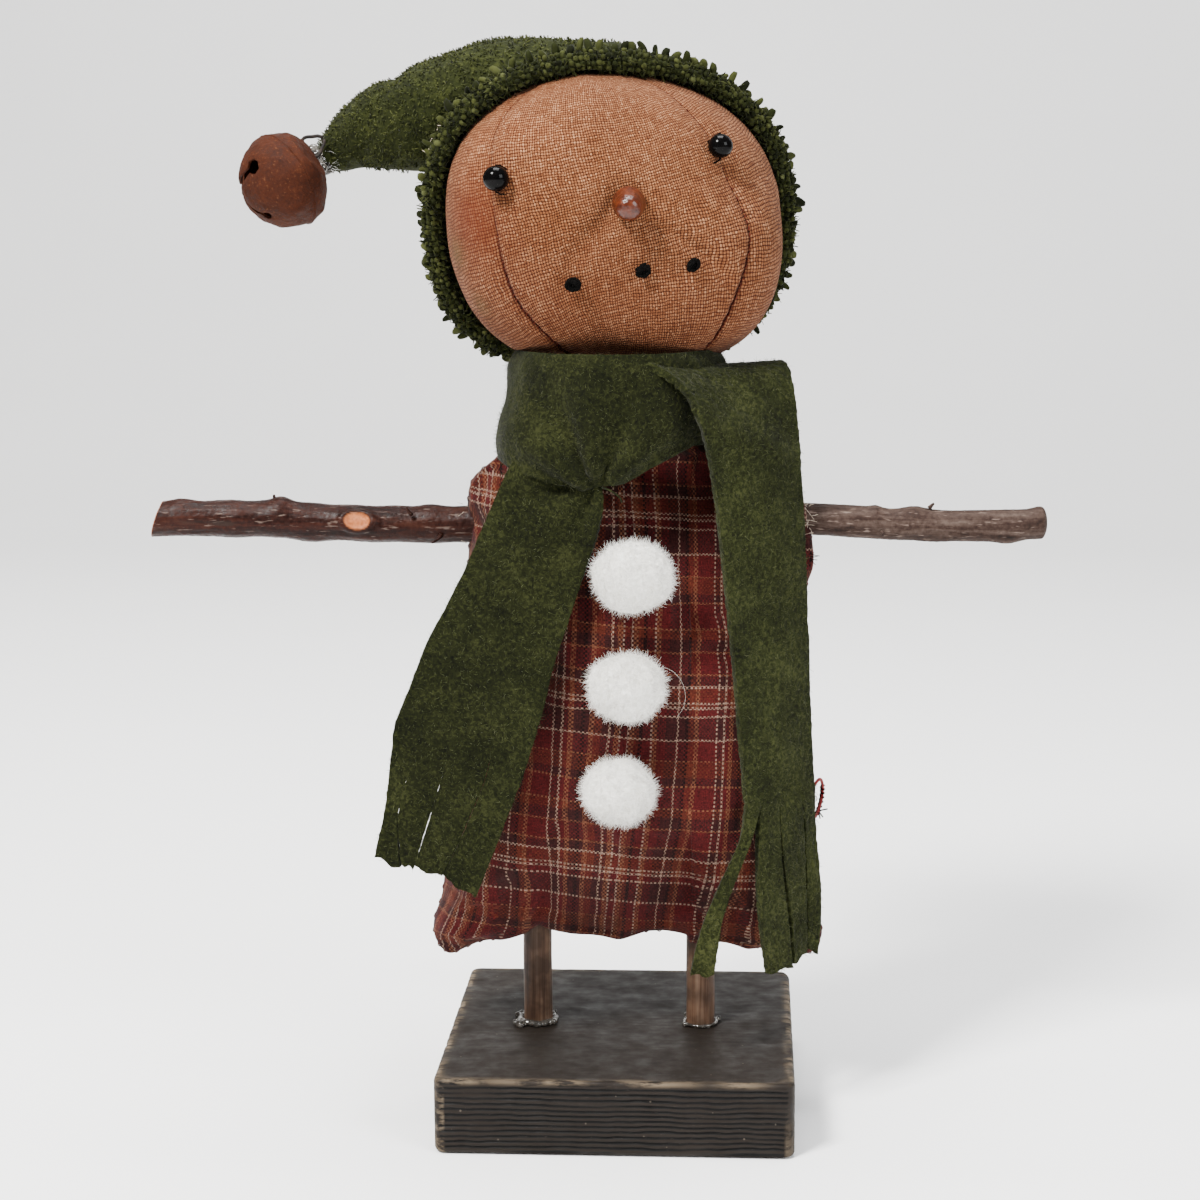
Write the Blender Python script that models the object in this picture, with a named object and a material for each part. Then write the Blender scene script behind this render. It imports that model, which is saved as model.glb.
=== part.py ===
"""Cloth snowman doll standing on a wooden block.

A stuffed linen head and a stuffed plaid pillow body stand on two dowel legs set in a square block.
Twigs make the arms, three wool pompoms the buttons, a felt strip the scarf. The chenille stocking
cap ends in a jingle bell. Frame: +X is the viewer's right, -Y faces the viewer, +Z is up, and the
origin is the centre of the block's underside. Units are metres.
"""

import math

import bmesh
import bpy
from mathutils import Matrix, Vector

MM = 0.001
GAP = 0.3 * MM

# Wooden block, legs and their glue.
BASE_SIDE = 89 * MM
BASE_HEIGHT = 19 * MM
BASE_EDGE = 1.2 * MM
LEG_RADIUS = 3.8 * MM
LEG_LEFT_X = -22.0 * MM
LEG_RIGHT_X = 20.6 * MM
LEG_FOOT = 5.5 * MM
LEG_TOP = 100 * MM
GLUE_LEFT_RADIUS = 6.3 * MM
GLUE_RIGHT_RADIUS = 5.2 * MM

# Pillow body: half widths at the hem and the shoulders, seam heights and half thickness.
CLOTH = 1.0 * MM
HEM_LEFT = -48.0 * MM
HEM_RIGHT = 51.0 * MM
SHOULDER_LEFT = -38.0 * MM
SHOULDER_RIGHT = 45.0 * MM
SIDE_PULL = 2.0 * MM
HEM_MIDDLE = 44.0 * MM
HEM_CORNER_DROP = 6.0 * MM
SHOULDER_HEIGHT = 161.0 * MM
NECK_RISE = 10.5 * MM
BODY_HALF_DEPTH = 23.5 * MM
PILLOW_POWER = 0.45
BODY_CELLS_X = 10
BODY_CELLS_Z = 12
FILL_SCALE = 0.955

# Twig arms.
ARM_HEIGHT = 151.5 * MM
ARM_LEFT_TIP = -118.5 * MM
ARM_LEFT_RADIUS = 5.2 * MM
ARM_RIGHT_TIP = 107.5 * MM
ARM_RIGHT_RADIUS = 4.5 * MM
ARM_DEPTH_IN_BODY = 20 * MM
ARM_HOLE_RADIUS = 5.9 * MM

# Head: a rounded box-like ball, wider than it is high, with its features on a rolled face.
HEAD_CENTRE = Vector((-1.3, 0.0, 229.0)) * MM
HEAD_HALF_WIDTH = 41.3 * MM
HEAD_FRONT = 33.0 * MM
HEAD_BACK = 32.0 * MM
HEAD_TOP = 34.5 * MM
HEAD_BOTTOM = 38.5 * MM
# How boxy the head is in each quarter: left and right of the centre, below and above it.
HEAD_POWERS = {(-1, -1): 2.4, (-1, 1): 2.4, (1, -1): 3.0, (1, 1): 1.95}
HEAD_ROLL = math.radians(-2.5)
FACE_ROLL = math.radians(-8)
HEAD_YAW = math.radians(5)
LINEN = 0.9 * MM
FACE_SEAM_ANGLE = 49
SIDE_SEAM_ANGLE = 130
PANEL_LATITUDE = 82
NECK_X = 4.0 * MM
NECK_RADIUS = 3.0 * MM
NECK_BOTTOM = 150 * MM
NECK_TOP = 215 * MM

# Face pieces: azimuth and latitude on the face in degrees.
EYE_RADIUS = 3.15 * MM
EYES = {"eye_left": (-43.7, 17.3), "eye_right": (47.5, 17.8)}
MOUTH = {
    "mouth_stitch_left": (-22.1, -23.7, 2.0 * MM),
    "mouth_stitch_middle": (7.2, -23.3, 1.7 * MM),
    "mouth_stitch_right": (26.6, -21.8, 1.8 * MM),
}
NOSE_PLACE = (5.4, 3.7)
NOSE_RADIUS = 4.0 * MM
NOSE_LENGTH = 9.0 * MM
NOSE_PROFILE = [(0.97, 0), (1.0, 0.12), (0.9, 0.45), (0.78, 0.75), (0.62, 0.91), (0.30, 1.0)]

# Pompom buttons: centre x and z, half width, half height.
POMPOMS = {
    "pompom_top": (4.8 * MM, 142.1 * MM, 10.8 * MM, 9.6 * MM),
    "pompom_middle": (3.2 * MM, 115.1 * MM, 10.4 * MM, 9.4 * MM),
    "pompom_bottom": (1.1 * MM, 89.0 * MM, 10.0 * MM, 9.0 * MM),
}
POMPOM_DEPTH = 8.0 * MM

# Stocking cap: the rim's plane, its rolled edge, the crown's cloth and the tail's centre line.
RIM_Y = 5.0 * MM
RIM_TILT = math.atan(0.42)
RIM_YAW = math.radians(12)
ROLL_RADIUS = 2.7 * MM
CHENILLE = 2.4 * MM
CROWN_CLEARANCE = 1.2 * MM
RIM_SAG = 5.0 * MM
HORN = (
    ((-2.0, 12.0, 256.5), 15.0),
    ((-24.0, 9.0, 256.0), 16.2),
    ((-33.0, 7.0, 255.0), 16.0),
    ((-44.5, 4.4, 253.2), 13.9),
)
TAIL_PIVOT = Vector((-50.3, 4.6, 252.3)) * MM
TAIL_BALL = 12.6 * MM
TAIL_LINE = (
    ((-56.0, 5.0, 251.2), 11.2),
    ((-61.4, 6.8, 249.5), 9.6),
    ((-66.4, 8.3, 247.2), 7.7),
    ((-70.0, 8.6, 245.3), 6.0),
    ((-72.4, 7.9, 243.9), 4.6),
)
TAIL_CLOTH = 1.5 * MM

# Jingle bell at the tail's tip. The axis points from the bell's bottom to its wire loop.
BELL_CENTRE = Vector((-82.4, -3.0, 237.8)) * MM
BELL_AXIS = Vector((0.70, 0.56, 0.44)).normalized()
BELL_SLOT_AXIS = Vector((0.93, 0.25, 0.25)).normalized()
BELL_SLOT_SIDE = Vector((-0.50, -0.82, 0.27)).normalized()
BELL_RADIUS = 12.0 * MM
BELL_WALL = 0.6 * MM
BELL_SLOT_WIDTH = 1.8 * MM
BELL_SLOT_ANGLE = math.radians(50)
BELL_HOLE_RADIUS = 1.8 * MM
LOOP_RADIUS = 3.4 * MM
LOOP_WIRE = 0.55 * MM
LOOP_OFFSET = 12.3 * MM
PELLET_RADIUS = 2.4 * MM

# Felt scarf.
FELT = 2.0 * MM
WRAP_CENTRE_Y = -4.0 * MM
WRAP_HALF_WIDTH = 26.5 * MM
WRAP_HALF_DEPTH = 25.5 * MM
WRAP_THICKNESS = 3.2 * MM
WRAP_FLARE = 0.07
WRAP_TOP = {"front": 195.5 * MM, "side": 190.0 * MM, "back": 179.0 * MM}
WRAP_LOW = {"front": 164.5 * MM, "side": 173.5 * MM, "back": 169.0 * MM}
# Each tail is a list of rungs: the strip's inner and outer edge points, from its top to its end.
TAIL_LEFT_RUNGS = (
    ((-25.5, -26.0, 164.5), (-4.5, -26.5, 161.5)),
    ((-31.0, -26.5, 154.5), (-5.5, -27.3, 151.5)),
    ((-36.5, -27.0, 143.0), (-8.2, -27.8, 141.0)),
    ((-42.0, -27.5, 132.0), (-12.0, -28.5, 128.0)),
    ((-47.5, -27.5, 121.0), (-15.5, -28.7, 117.0)),
    ((-52.5, -27.5, 109.0), (-18.0, -28.7, 106.0)),
    ((-55.5, -27.5, 98.0), (-21.5, -28.5, 95.0)),
    ((-56.4, -27.5, 88.0), (-25.3, -28.2, 84.5)),
    ((-57.6, -27.5, 79.0), (-29.5, -28.0, 74.0)),
    ((-58.8, -27.5, 71.5), (-34.6, -27.8, 61.5)),
)
TAIL_RIGHT_RUNGS = (
    ((12.0, -31.8, 192.0), (41.4, -11.0, 192.0)),
    ((17.0, -31.2, 187.0), (43.2, -10.0, 185.5)),
    ((21.5, -30.0, 177.0), (44.6, -9.2, 174.0)),
    ((24.2, -28.0, 166.0), (45.4, -8.8, 163.0)),
    ((25.6, -26.0, 152.0), (46.0, -9.0, 150.0)),
    ((27.5, -24.6, 135.0), (46.6, -7.6, 134.0)),
    ((29.2, -24.0, 118.0), (47.3, -7.0, 118.0)),
    ((30.8, -24.0, 100.0), (48.0, -7.0, 100.0)),
    ((32.6, -24.0, 80.0), (49.4, -7.5, 80.0)),
)
FRINGES_RIGHT = (
    (((31.9, -24.4, 88.0), (36.2, -22.0, 88.0)), ((19.0, -27.0, 41.3), (24.8, -26.0, 41.3))),
    (((35.0, -23.0, 88.0), (48.4, -8.6, 88.0)), ((37.6, -22.5, 39.8), (50.4, -11.0, 43.0))),
)
TACK_CENTRE = Vector((-12.0, 0.0, 168.5)) * MM

# Hang-tag loop: a thin cord out of the right side seam and back into it.
TAG_CORD_RADIUS = 0.42 * MM
TAG_ROUTE = (
    (49.2, 2.4, 81.6),
    (50.2, 4.6, 82.6),
    (51.3, 8.4, 82.8),
    (52.1, 12.8, 81.2),
    (52.4, 15.4, 78.6),
    (52.1, 14.6, 75.8),
    (51.1, 10.2, 73.7),
    (50.1, 5.4, 73.4),
    (49.5, 2.2, 74.6),
)
TAG_CORD_STEPS = 3

# Finish of each kind of stuff: colour, roughness, metallic.
STAINED_WOOD = ((0.060, 0.045, 0.038), 0.75, 0.0)
DOWEL_WOOD = ((0.135, 0.080, 0.050), 0.70, 0.0)
BARK_RED = ((0.150, 0.075, 0.055), 0.55, 0.0)
BARK_GREY = ((0.140, 0.100, 0.080), 0.75, 0.0)
PLAID = ((0.150, 0.035, 0.030), 0.90, 0.0)
LINEN_TAN = ((0.400, 0.210, 0.120), 0.90, 0.0)
FIBRE = ((0.800, 0.780, 0.740), 1.00, 0.0)
WOOL_WHITE = ((0.850, 0.840, 0.820), 1.00, 0.0)
GLOSS_BLACK = ((0.006, 0.006, 0.006), 0.08, 0.0)
THREAD_BLACK = ((0.010, 0.010, 0.010), 0.80, 0.0)
NOSE_BROWN = ((0.230, 0.090, 0.035), 0.25, 0.0)
FELT_GREEN = ((0.030, 0.045, 0.016), 0.95, 0.0)
CHENILLE_GREEN = ((0.035, 0.055, 0.020), 0.95, 0.0)
RUSTY_STEEL = ((0.190, 0.085, 0.050), 0.80, 0.55)
WIRE_STEEL = ((0.120, 0.090, 0.075), 0.55, 0.90)
CLEAR_GLUE = ((0.550, 0.530, 0.480), 0.30, 0.0)
CORD_RED = ((0.450, 0.015, 0.020), 0.60, 0.0)


# ---- small tools -------------------------------------------------------------------------------


def clear_scene():
    """Removes what the file opened with."""
    for item in list(bpy.data.objects):
        bpy.data.objects.remove(item)


def finish_material(name, finish):
    """A Principled material with the piece's colour, roughness and metallic value."""
    colour, roughness, metallic = finish
    made = bpy.data.materials.new(name)
    made.use_nodes = True
    shader = made.node_tree.nodes["Principled BSDF"]
    shader.inputs["Base Color"].default_value = (*colour, 1.0)
    shader.inputs["Roughness"].default_value = roughness
    shader.inputs["Metallic"].default_value = metallic
    return made


def add_mesh(name, verts, faces, finish, origin=None):
    """A closed mesh object whose faces point out, with its origin at the given place."""
    start = origin or Vector((0, 0, 0))
    mesh = bpy.data.meshes.new(name)
    mesh.from_pydata([Vector(v) - start for v in verts], [], faces)
    work = bmesh.new()
    work.from_mesh(mesh)
    bmesh.ops.recalc_face_normals(work, faces=work.faces)
    work.to_mesh(mesh)
    work.free()
    mesh.shade_smooth()
    mesh.set_sharp_from_angle(angle=math.radians(42))
    made = bpy.data.objects.new(name, mesh)
    made.location = start
    made.data.materials.append(finish_material(name, finish))
    bpy.context.scene.collection.objects.link(made)
    return made


def combine(target, tool, operation="DIFFERENCE"):
    """A live Boolean of the target with a hidden tool object."""
    tool.hide_render = True
    tool.display_type = "WIRE"
    modifier = target.modifiers.new(tool.name, "BOOLEAN")
    modifier.solver = "EXACT"
    modifier.operation = operation
    modifier.object = tool


def attach(child, parent):
    """Parents a piece and leaves it where it is."""
    child.parent = parent
    child.matrix_parent_inverse = Matrix.Translation(-parent.location)


def loft(rings, closed=False):
    """Vertices and faces of rings of equal length, capped at both ends or joined into a loop."""
    count = len(rings[0])
    verts = [point for ring in rings for point in ring]
    faces = []
    spans = len(rings) if closed else len(rings) - 1
    for i in range(spans):
        here = i * count
        there = (i + 1) % len(rings) * count
        for j in range(count):
            k = (j + 1) % count
            faces.append((here + j, here + k, there + k, there + j))
    if not closed:
        faces.append(tuple(reversed(range(count))))
        faces.append(tuple(range(len(verts) - count, len(verts))))
    return verts, faces


def circle(centre, tangent, radius, sides, side_hint=Vector((0, 0, 1))):
    """A ring of points round a centre, square to a tangent."""
    along = tangent.normalized()
    if abs(along.dot(side_hint)) > 0.99:
        side_hint = Vector((0, 1, 0))
    across = along.cross(side_hint).normalized()
    up = across.cross(along)
    ring = []
    for j in range(sides):
        angle = 2 * math.pi * j / sides
        ring.append(centre + radius * (math.cos(angle) * across + math.sin(angle) * up))
    return ring


def revolve(profile, sides, centre, axis, closed=False, lobes=0.0):
    """A turned solid: (radius, height) pairs along an axis, capped flat or closed into a ring."""
    rings = []
    helper = Vector((1, 0, 0)) if abs(axis.x) < 0.8 else Vector((0, 1, 0))
    for radius, height in profile:
        ring = circle(centre + axis * height, axis, radius, sides, helper)
        for j, point in enumerate(ring):
            swell = 1 + lobes * math.sin(4 * math.pi * j / sides + 0.7)
            middle = centre + axis * height
            ring[j] = middle + (point - middle) * swell
        rings.append(ring)
    return loft(rings, closed)


def ball_profile(radius, steps, flatten=1.0):
    """Radius and height pairs of a ball whose poles are small flats."""
    profile = []
    for i in range(steps + 1):
        angle = math.pi * (0.04 + 0.92 * i / steps)
        profile.append((radius * math.sin(angle), -radius * flatten * math.cos(angle)))
    return profile


def sheet_solid(outer, inner, name, finish, origin=None):
    """A thin solid between two equal grids of points, closed round its rim."""
    rows = len(outer)
    columns = len(outer[0])
    verts = [point for row in outer for point in row]
    verts += [point for row in inner for point in row]
    shift = rows * columns
    faces = []
    for i in range(rows - 1):
        for j in range(columns - 1):
            a = i * columns + j
            b = a + columns
            faces.append((a, a + 1, b + 1, b))
            faces.append((a + shift, b + shift, b + 1 + shift, a + 1 + shift))
    border = [j for j in range(columns)]
    border += [i * columns + columns - 1 for i in range(1, rows)]
    border += [(rows - 1) * columns + j for j in range(columns - 2, -1, -1)]
    border += [i * columns for i in range(rows - 2, 0, -1)]
    for here, there in zip(border, border[1:] + border[:1]):
        faces.append((here, here + shift, there + shift, there))
    return add_mesh(name, verts, faces, finish, origin)


def mix(a, b, t):
    return a + (b - a) * t


# ---- block and legs ----------------------------------------------------------------------------


def make_block():
    half = BASE_SIDE / 2
    floor = [Vector((x, y, 0)) for x, y in ((-half, -half), (half, -half), (half, half), (-half, half))]
    lid = [point + Vector((0, 0, BASE_HEIGHT)) for point in floor]
    verts, faces = loft([floor, lid])
    block = add_mesh("base_board", verts, faces, STAINED_WOOD)
    edge = block.modifiers.new("worn_edges", "BEVEL")
    edge.width = BASE_EDGE
    edge.segments = 1
    for name, x in (("left", LEG_LEFT_X), ("right", LEG_RIGHT_X)):
        foot = Vector((x, 0, LEG_FOOT - GAP))
        rings = [circle(foot, Vector((0, 0, 1)), LEG_RADIUS + GAP, 16, Vector((0, 1, 0)))]
        rings.append([point + Vector((0, 0, BASE_HEIGHT)) for point in rings[0]])
        combine(block, add_mesh("cut_leg_socket_" + name, *loft(rings), STAINED_WOOD))


def make_leg(side, x, glue_radius):
    foot = circle(Vector((x, 0, LEG_FOOT)), Vector((0, 0, 1)), LEG_RADIUS, 16, Vector((0, 1, 0)))
    top = [point + Vector((0, 0, LEG_TOP - LEG_FOOT)) for point in foot]
    add_mesh("leg_" + side, *loft([foot, top]), DOWEL_WOOD)
    inner = LEG_RADIUS + 2 * GAP
    low = BASE_HEIGHT + GAP
    bead = [
        (inner, low),
        (glue_radius, low),
        (glue_radius * 0.93, low + 0.8 * MM),
        (mix(inner, glue_radius, 0.35), low + 1.5 * MM),
        (inner, low + 2.4 * MM),
    ]
    ring = revolve(bead, 16, Vector((x, 0, 0)), Vector((0, 0, 1)), closed=True, lobes=0.03)
    add_mesh("leg_glue_" + side, *ring, CLEAR_GLUE)


# ---- pillow body -------------------------------------------------------------------------------


def body_depth(u, v):
    """Half thickness of the pillow, u across from -1 to 1 and v up from 0 to 1."""
    w = 2 * v - 1
    room = max(0.0, 1 - u * u) * max(0.0, 1 - w * w)
    return BODY_HALF_DEPTH * room**PILLOW_POWER


def body_point(u, v):
    """x and z of the pillow's outline surface."""
    pull = SIDE_PULL * math.sin(math.pi * v)
    left = mix(HEM_LEFT, SHOULDER_LEFT, v) + pull
    right = mix(HEM_RIGHT, SHOULDER_RIGHT, v) - pull * math.cos(math.pi * v / 2)
    low = HEM_MIDDLE - HEM_CORNER_DROP * abs(u) ** 4
    high = SHOULDER_HEIGHT + NECK_RISE * (1 - u**4)
    return mix(left, right, (u + 1) / 2), mix(low, high, v)


def body_grid(side):
    """Rows of points on the front (-1) or back (+1) of the pillow."""
    rows = []
    for i in range(BODY_CELLS_Z + 1):
        v = 0.5 - 0.5 * math.cos(math.pi * i / BODY_CELLS_Z)
        row = []
        for j in range(BODY_CELLS_X + 1):
            u = math.sin(math.pi * (j / BODY_CELLS_X - 0.5))
            x, z = body_point(u, v)
            row.append(Vector((x, side * (GAP / 2 + body_depth(u, v)), z)))
        rows.append(row)
    return rows


def make_panel(name, side):
    """One plaid cover panel, thickened outwards from the pillow's surface."""
    rows = body_grid(side)
    columns = len(rows[0])
    verts = [point for row in rows for point in row]
    faces = []
    for i in range(len(rows) - 1):
        for j in range(columns - 1):
            a = i * columns + j
            quad = (a, a + 1, a + columns + 1, a + columns)
            faces.append(quad if side < 0 else quad[::-1])
    mesh = bpy.data.meshes.new(name)
    mesh.from_pydata(verts, [], faces)
    mesh.shade_smooth()
    panel = bpy.data.objects.new(name, mesh)
    panel.data.materials.append(finish_material(name, PLAID))
    bpy.context.scene.collection.objects.link(panel)
    cloth = panel.modifiers.new("cloth", "SOLIDIFY")
    cloth.thickness = CLOTH
    cloth.offset = 1
    return panel


def make_body_fill():
    """The fibre core, a smaller pillow inside the two panels."""
    front = body_grid(-1)
    back = body_grid(1)
    middle = Vector((1.6 * MM, 0, 107 * MM))
    rows = len(front)
    columns = len(front[0])
    verts = []
    index = {}
    for side, grid in ((0, front), (1, back)):
        for i, row in enumerate(grid):
            for j, point in enumerate(row):
                rim = i in (0, rows - 1) or j in (0, columns - 1)
                if rim and side:
                    index[side, i, j] = index[0, i, j]
                    continue
                flat = Vector((point.x, 0, point.z)) if rim else point
                index[side, i, j] = len(verts)
                verts.append(middle + (flat - middle) * FILL_SCALE)
    faces = []
    for side in (0, 1):
        for i in range(rows - 1):
            for j in range(columns - 1):
                ring = ((i, j), (i, j + 1), (i + 1, j + 1), (i + 1, j))
                quad = [index[side, a, b] for a, b in ring]
                faces.append(quad if side == 0 else quad[::-1])
    return add_mesh("body_stuffing", verts, faces, FIBRE)


def post(name, start, end, radius, sides=16):
    """A plain round cutter."""
    hint = Vector((0, 1, 0))
    rings = [circle(start, end - start, radius, sides, hint), circle(end, end - start, radius, sides, hint)]
    return add_mesh(name, *loft(rings), FIBRE)


def make_body():
    front = make_panel("body_front_panel", -1)
    back = make_panel("body_back_panel", 1)
    fill = make_body_fill()
    reach = 60 * MM
    low = Vector((0, 0, 30 * MM))
    top = Vector((0, 0, LEG_TOP + GAP))
    arm_in = ARM_DEPTH_IN_BODY + GAP
    height = Vector((0, 0, ARM_HEIGHT))
    cutters = []
    for name, x in (("left", LEG_LEFT_X), ("right", LEG_RIGHT_X)):
        offset = Vector((x, 0, 0))
        cutters.append(post("cut_body_leg_" + name, low + offset, top + offset, LEG_RADIUS + GAP))
    for name, x, way in (("left", SHOULDER_LEFT, 1), ("right", SHOULDER_RIGHT, -1)):
        inside = height + Vector((x + way * arm_in, 0, 0))
        outside = height + Vector((x - way * reach, 0, 0))
        cutters.append(post("cut_body_arm_" + name, outside, inside, ARM_HOLE_RADIUS))
    neck = Vector((NECK_X, 0, 0))
    neck_low = neck + Vector((0, 0, NECK_BOTTOM - GAP))
    neck_high = neck + Vector((0, 0, NECK_TOP + GAP))
    cutters.append(post("cut_neck", neck_low, neck_high, NECK_RADIUS + GAP))
    for piece in (front, back, fill):
        for cutter in cutters:
            combine(piece, cutter)
    ends = [neck + Vector((0, 0, z)) for z in (NECK_BOTTOM, NECK_TOP)]
    dowel = [circle(end, Vector((0, 0, 1)), NECK_RADIUS, 12) for end in ends]
    add_mesh("neck_dowel", *loft(dowel), DOWEL_WOOD)
    return cutters[-1]


def front_face_y(x, z):
    """y of the front panel's outer face at x and z."""
    u = 0.0
    v = 0.5
    for _ in range(6):
        low = body_point(u, 0)[1]
        high = body_point(u, 1)[1]
        v = min(1.0, max(0.0, (z - low) / (high - low)))
        left = body_point(-1, v)[0]
        right = body_point(1, v)[0]
        u = min(1.0, max(-1.0, 2 * (x - left) / (right - left) - 1))
    return -(GAP / 2 + body_depth(u, v) + 1.3 * CLOTH)


# ---- arms --------------------------------------------------------------------------------------


def twig(name, inner_x, tip_x, radius, finish, bumps, slant):
    """A knobbly twig along X. A bump is (place along 0..1, angle, height, length 0..1)."""
    rings = []
    steps = 15
    sides = 12
    for i in range(steps + 1):
        t = i / steps
        x = mix(inner_x, tip_x, t)
        free = min(1.0, max(0.0, (t - 0.25) / 0.2))
        wander = Vector((0, 0.5 * math.sin(5 * t), 0.5 * math.sin(4 * t + 1))) * MM * free
        ring = []
        for j in range(sides):
            angle = 2 * math.pi * j / sides
            size = radius * (1 + 0.035 * math.sin(2 * angle + 6 * t) * free)
            for place, way, height, length in bumps:
                turn = math.cos(angle - way)
                size += height * math.exp(-(((t - place) / length) ** 2)) * max(0.0, turn) ** 3
            off = Vector((0, math.cos(angle), math.sin(angle))) * size
            lean = slant * off.y if i == steps else 0.0
            ring.append(Vector((x + lean, 0, ARM_HEIGHT)) + off + wander)
        rings.append(ring)
    add_mesh(name, *loft(rings), finish)


def make_arms():
    up = math.pi / 2
    left_bumps = (
        (0.68, up, 1.6 * MM, 0.04),
        (0.46, math.pi, 1.0 * MM, 0.07),
        (0.60, -up, 0.9 * MM, 0.04),
        (0.97, up, 0.6 * MM, 0.05),
    )
    right_bumps = (
        (0.60, up, 1.0 * MM, 0.05),
        (0.88, -up, 0.9 * MM, 0.05),
        (0.36, math.pi, 0.6 * MM, 0.06),
    )
    inner_left = SHOULDER_LEFT + ARM_DEPTH_IN_BODY
    inner_right = SHOULDER_RIGHT - ARM_DEPTH_IN_BODY
    twig("arm_left", inner_left, ARM_LEFT_TIP, ARM_LEFT_RADIUS, BARK_RED, left_bumps, -0.30)
    twig("arm_right", inner_right, ARM_RIGHT_TIP, ARM_RIGHT_RADIUS, BARK_GREY, right_bumps, 0.0)


# ---- head --------------------------------------------------------------------------------------


def turn(roll):
    """The head's rotation: rolled in the viewer's plane, then yawed."""
    return Matrix.Rotation(HEAD_YAW, 3, "Z") @ Matrix.Rotation(roll, 3, "Y")


def head_value(point, extra=0.0):
    """Below 1 inside the head grown by extra, above 1 outside it."""
    local = turn(HEAD_ROLL).transposed() @ (point - HEAD_CENTRE)
    depth = (HEAD_FRONT if local.y < 0 else HEAD_BACK) + extra
    height = (HEAD_TOP if local.z > 0 else HEAD_BOTTOM) + extra
    parts = (local.x / (HEAD_HALF_WIDTH + extra), local.y / depth, local.z / height)
    power = HEAD_POWERS[1 if local.x > 0 else -1, 1 if local.z > 0 else -1]
    return sum(abs(part) ** power for part in parts)


def head_reach(start, direction, extra=0.0):
    """How far the grown head's surface is from a point inside it."""
    low = 0.0
    high = 90 * MM
    for _ in range(40):
        middle = (low + high) / 2
        if head_value(start + direction * middle, extra) < 1:
            low = middle
        else:
            high = middle
    return low


def face_direction(azimuth, latitude):
    """A direction from the head's centre, in degrees on the rolled face."""
    a = math.radians(azimuth)
    b = math.radians(latitude)
    local = Vector((math.sin(a) * math.cos(b), -math.cos(a) * math.cos(b), math.sin(b)))
    return turn(FACE_ROLL) @ local


def head_point(azimuth, latitude, extra=0.0):
    direction = face_direction(azimuth, latitude)
    return HEAD_CENTRE + direction * (head_reach(HEAD_CENTRE, direction) + extra)


def head_normal(azimuth, latitude):
    step = 0.5
    along = head_point(azimuth + step, latitude) - head_point(azimuth - step, latitude)
    up = head_point(azimuth, latitude + step) - head_point(azimuth, latitude - step)
    return along.cross(up).normalized()


def make_head_panel(name, first, last, cells):
    """One linen panel between two seam meridians, with half a gap kept at each seam."""
    rows = 10
    outer = []
    inner = []
    for i in range(rows + 1):
        latitude = PANEL_LATITUDE * (2 * i / rows - 1)
        margin = math.degrees(GAP / 2 / (HEAD_FRONT * math.cos(math.radians(latitude))))
        outer.append([])
        inner.append([])
        for j in range(cells + 1):
            azimuth = mix(first + margin, last - margin, j / cells)
            outer[-1].append(head_point(azimuth, latitude))
            inner[-1].append(head_point(azimuth, latitude, -LINEN))
    sheet_solid(outer, inner, name, LINEN_TAN)


def grown_head(name, extra, finish, sides=24, rows=14):
    """A closed copy of the head's shape, grown or shrunk by extra."""
    rings = []
    for i in range(rows + 1):
        latitude = 87 * (2 * i / rows - 1)
        ring = [head_point(360 * j / sides, latitude, extra) for j in range(sides)]
        rings.append(ring)
    return add_mesh(name, *loft(rings), finish)


def make_head(neck_cutter):
    make_head_panel("head_face_panel", -FACE_SEAM_ANGLE, FACE_SEAM_ANGLE, 7)
    make_head_panel("head_left_panel", -SIDE_SEAM_ANGLE, -FACE_SEAM_ANGLE, 5)
    make_head_panel("head_right_panel", FACE_SEAM_ANGLE, SIDE_SEAM_ANGLE, 5)
    make_head_panel("head_back_panel", SIDE_SEAM_ANGLE, 360 - SIDE_SEAM_ANGLE, 7)
    fill = grown_head("head_stuffing", -LINEN - 8 * GAP, FIBRE, 16, 10)
    combine(fill, neck_cutter)


def make_face():
    for name, (azimuth, latitude) in EYES.items():
        normal = head_normal(azimuth, latitude)
        centre = head_point(azimuth, latitude) + normal * (EYE_RADIUS * 0.85 + GAP)
        add_mesh(name, *revolve(ball_profile(EYE_RADIUS, 7, 0.85), 12, centre, normal), GLOSS_BLACK)
    for name, (azimuth, latitude, radius) in MOUTH.items():
        normal = head_normal(azimuth, latitude)
        centre = head_point(azimuth, latitude) + normal * (radius * 0.6 + GAP)
        add_mesh(name, *revolve(ball_profile(radius, 6, 0.6), 10, centre, normal), THREAD_BLACK)
    normal = head_normal(*NOSE_PLACE)
    aim = (normal + Vector((-0.08, 0, -0.22))).normalized()
    start = head_point(*NOSE_PLACE) + normal * 4 * GAP
    peg = [(wide * NOSE_RADIUS, long * NOSE_LENGTH) for wide, long in NOSE_PROFILE]
    add_mesh("nose", *revolve(peg, 14, start, aim), NOSE_BROWN)


# ---- pompoms -----------------------------------------------------------------------------------


def make_pompoms():
    for name, (x, z, wide, high) in POMPOMS.items():
        around = [(a, b) for a in (-0.7, 0, 0.7) for b in (-0.8, -0.4, 0, 0.4, 0.8)]
        back = min(front_face_y(x + a * wide, z + b * high) for a, b in around) - GAP
        middle = back - 0.75 * POMPOM_DEPTH
        rings = []
        for radius, height in ball_profile(1.0, 8):
            y = min(back, middle + height * POMPOM_DEPTH)
            ring = []
            for j in range(16):
                angle = 2 * math.pi * j / 16
                across = wide * radius * math.cos(angle)
                up = high * radius * math.sin(angle)
                ring.append(Vector((x + across, y, z + up)))
            rings.append(ring)
        add_mesh(name, *loft(rings), WOOL_WHITE)


# ---- stocking cap ------------------------------------------------------------------------------


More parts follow.
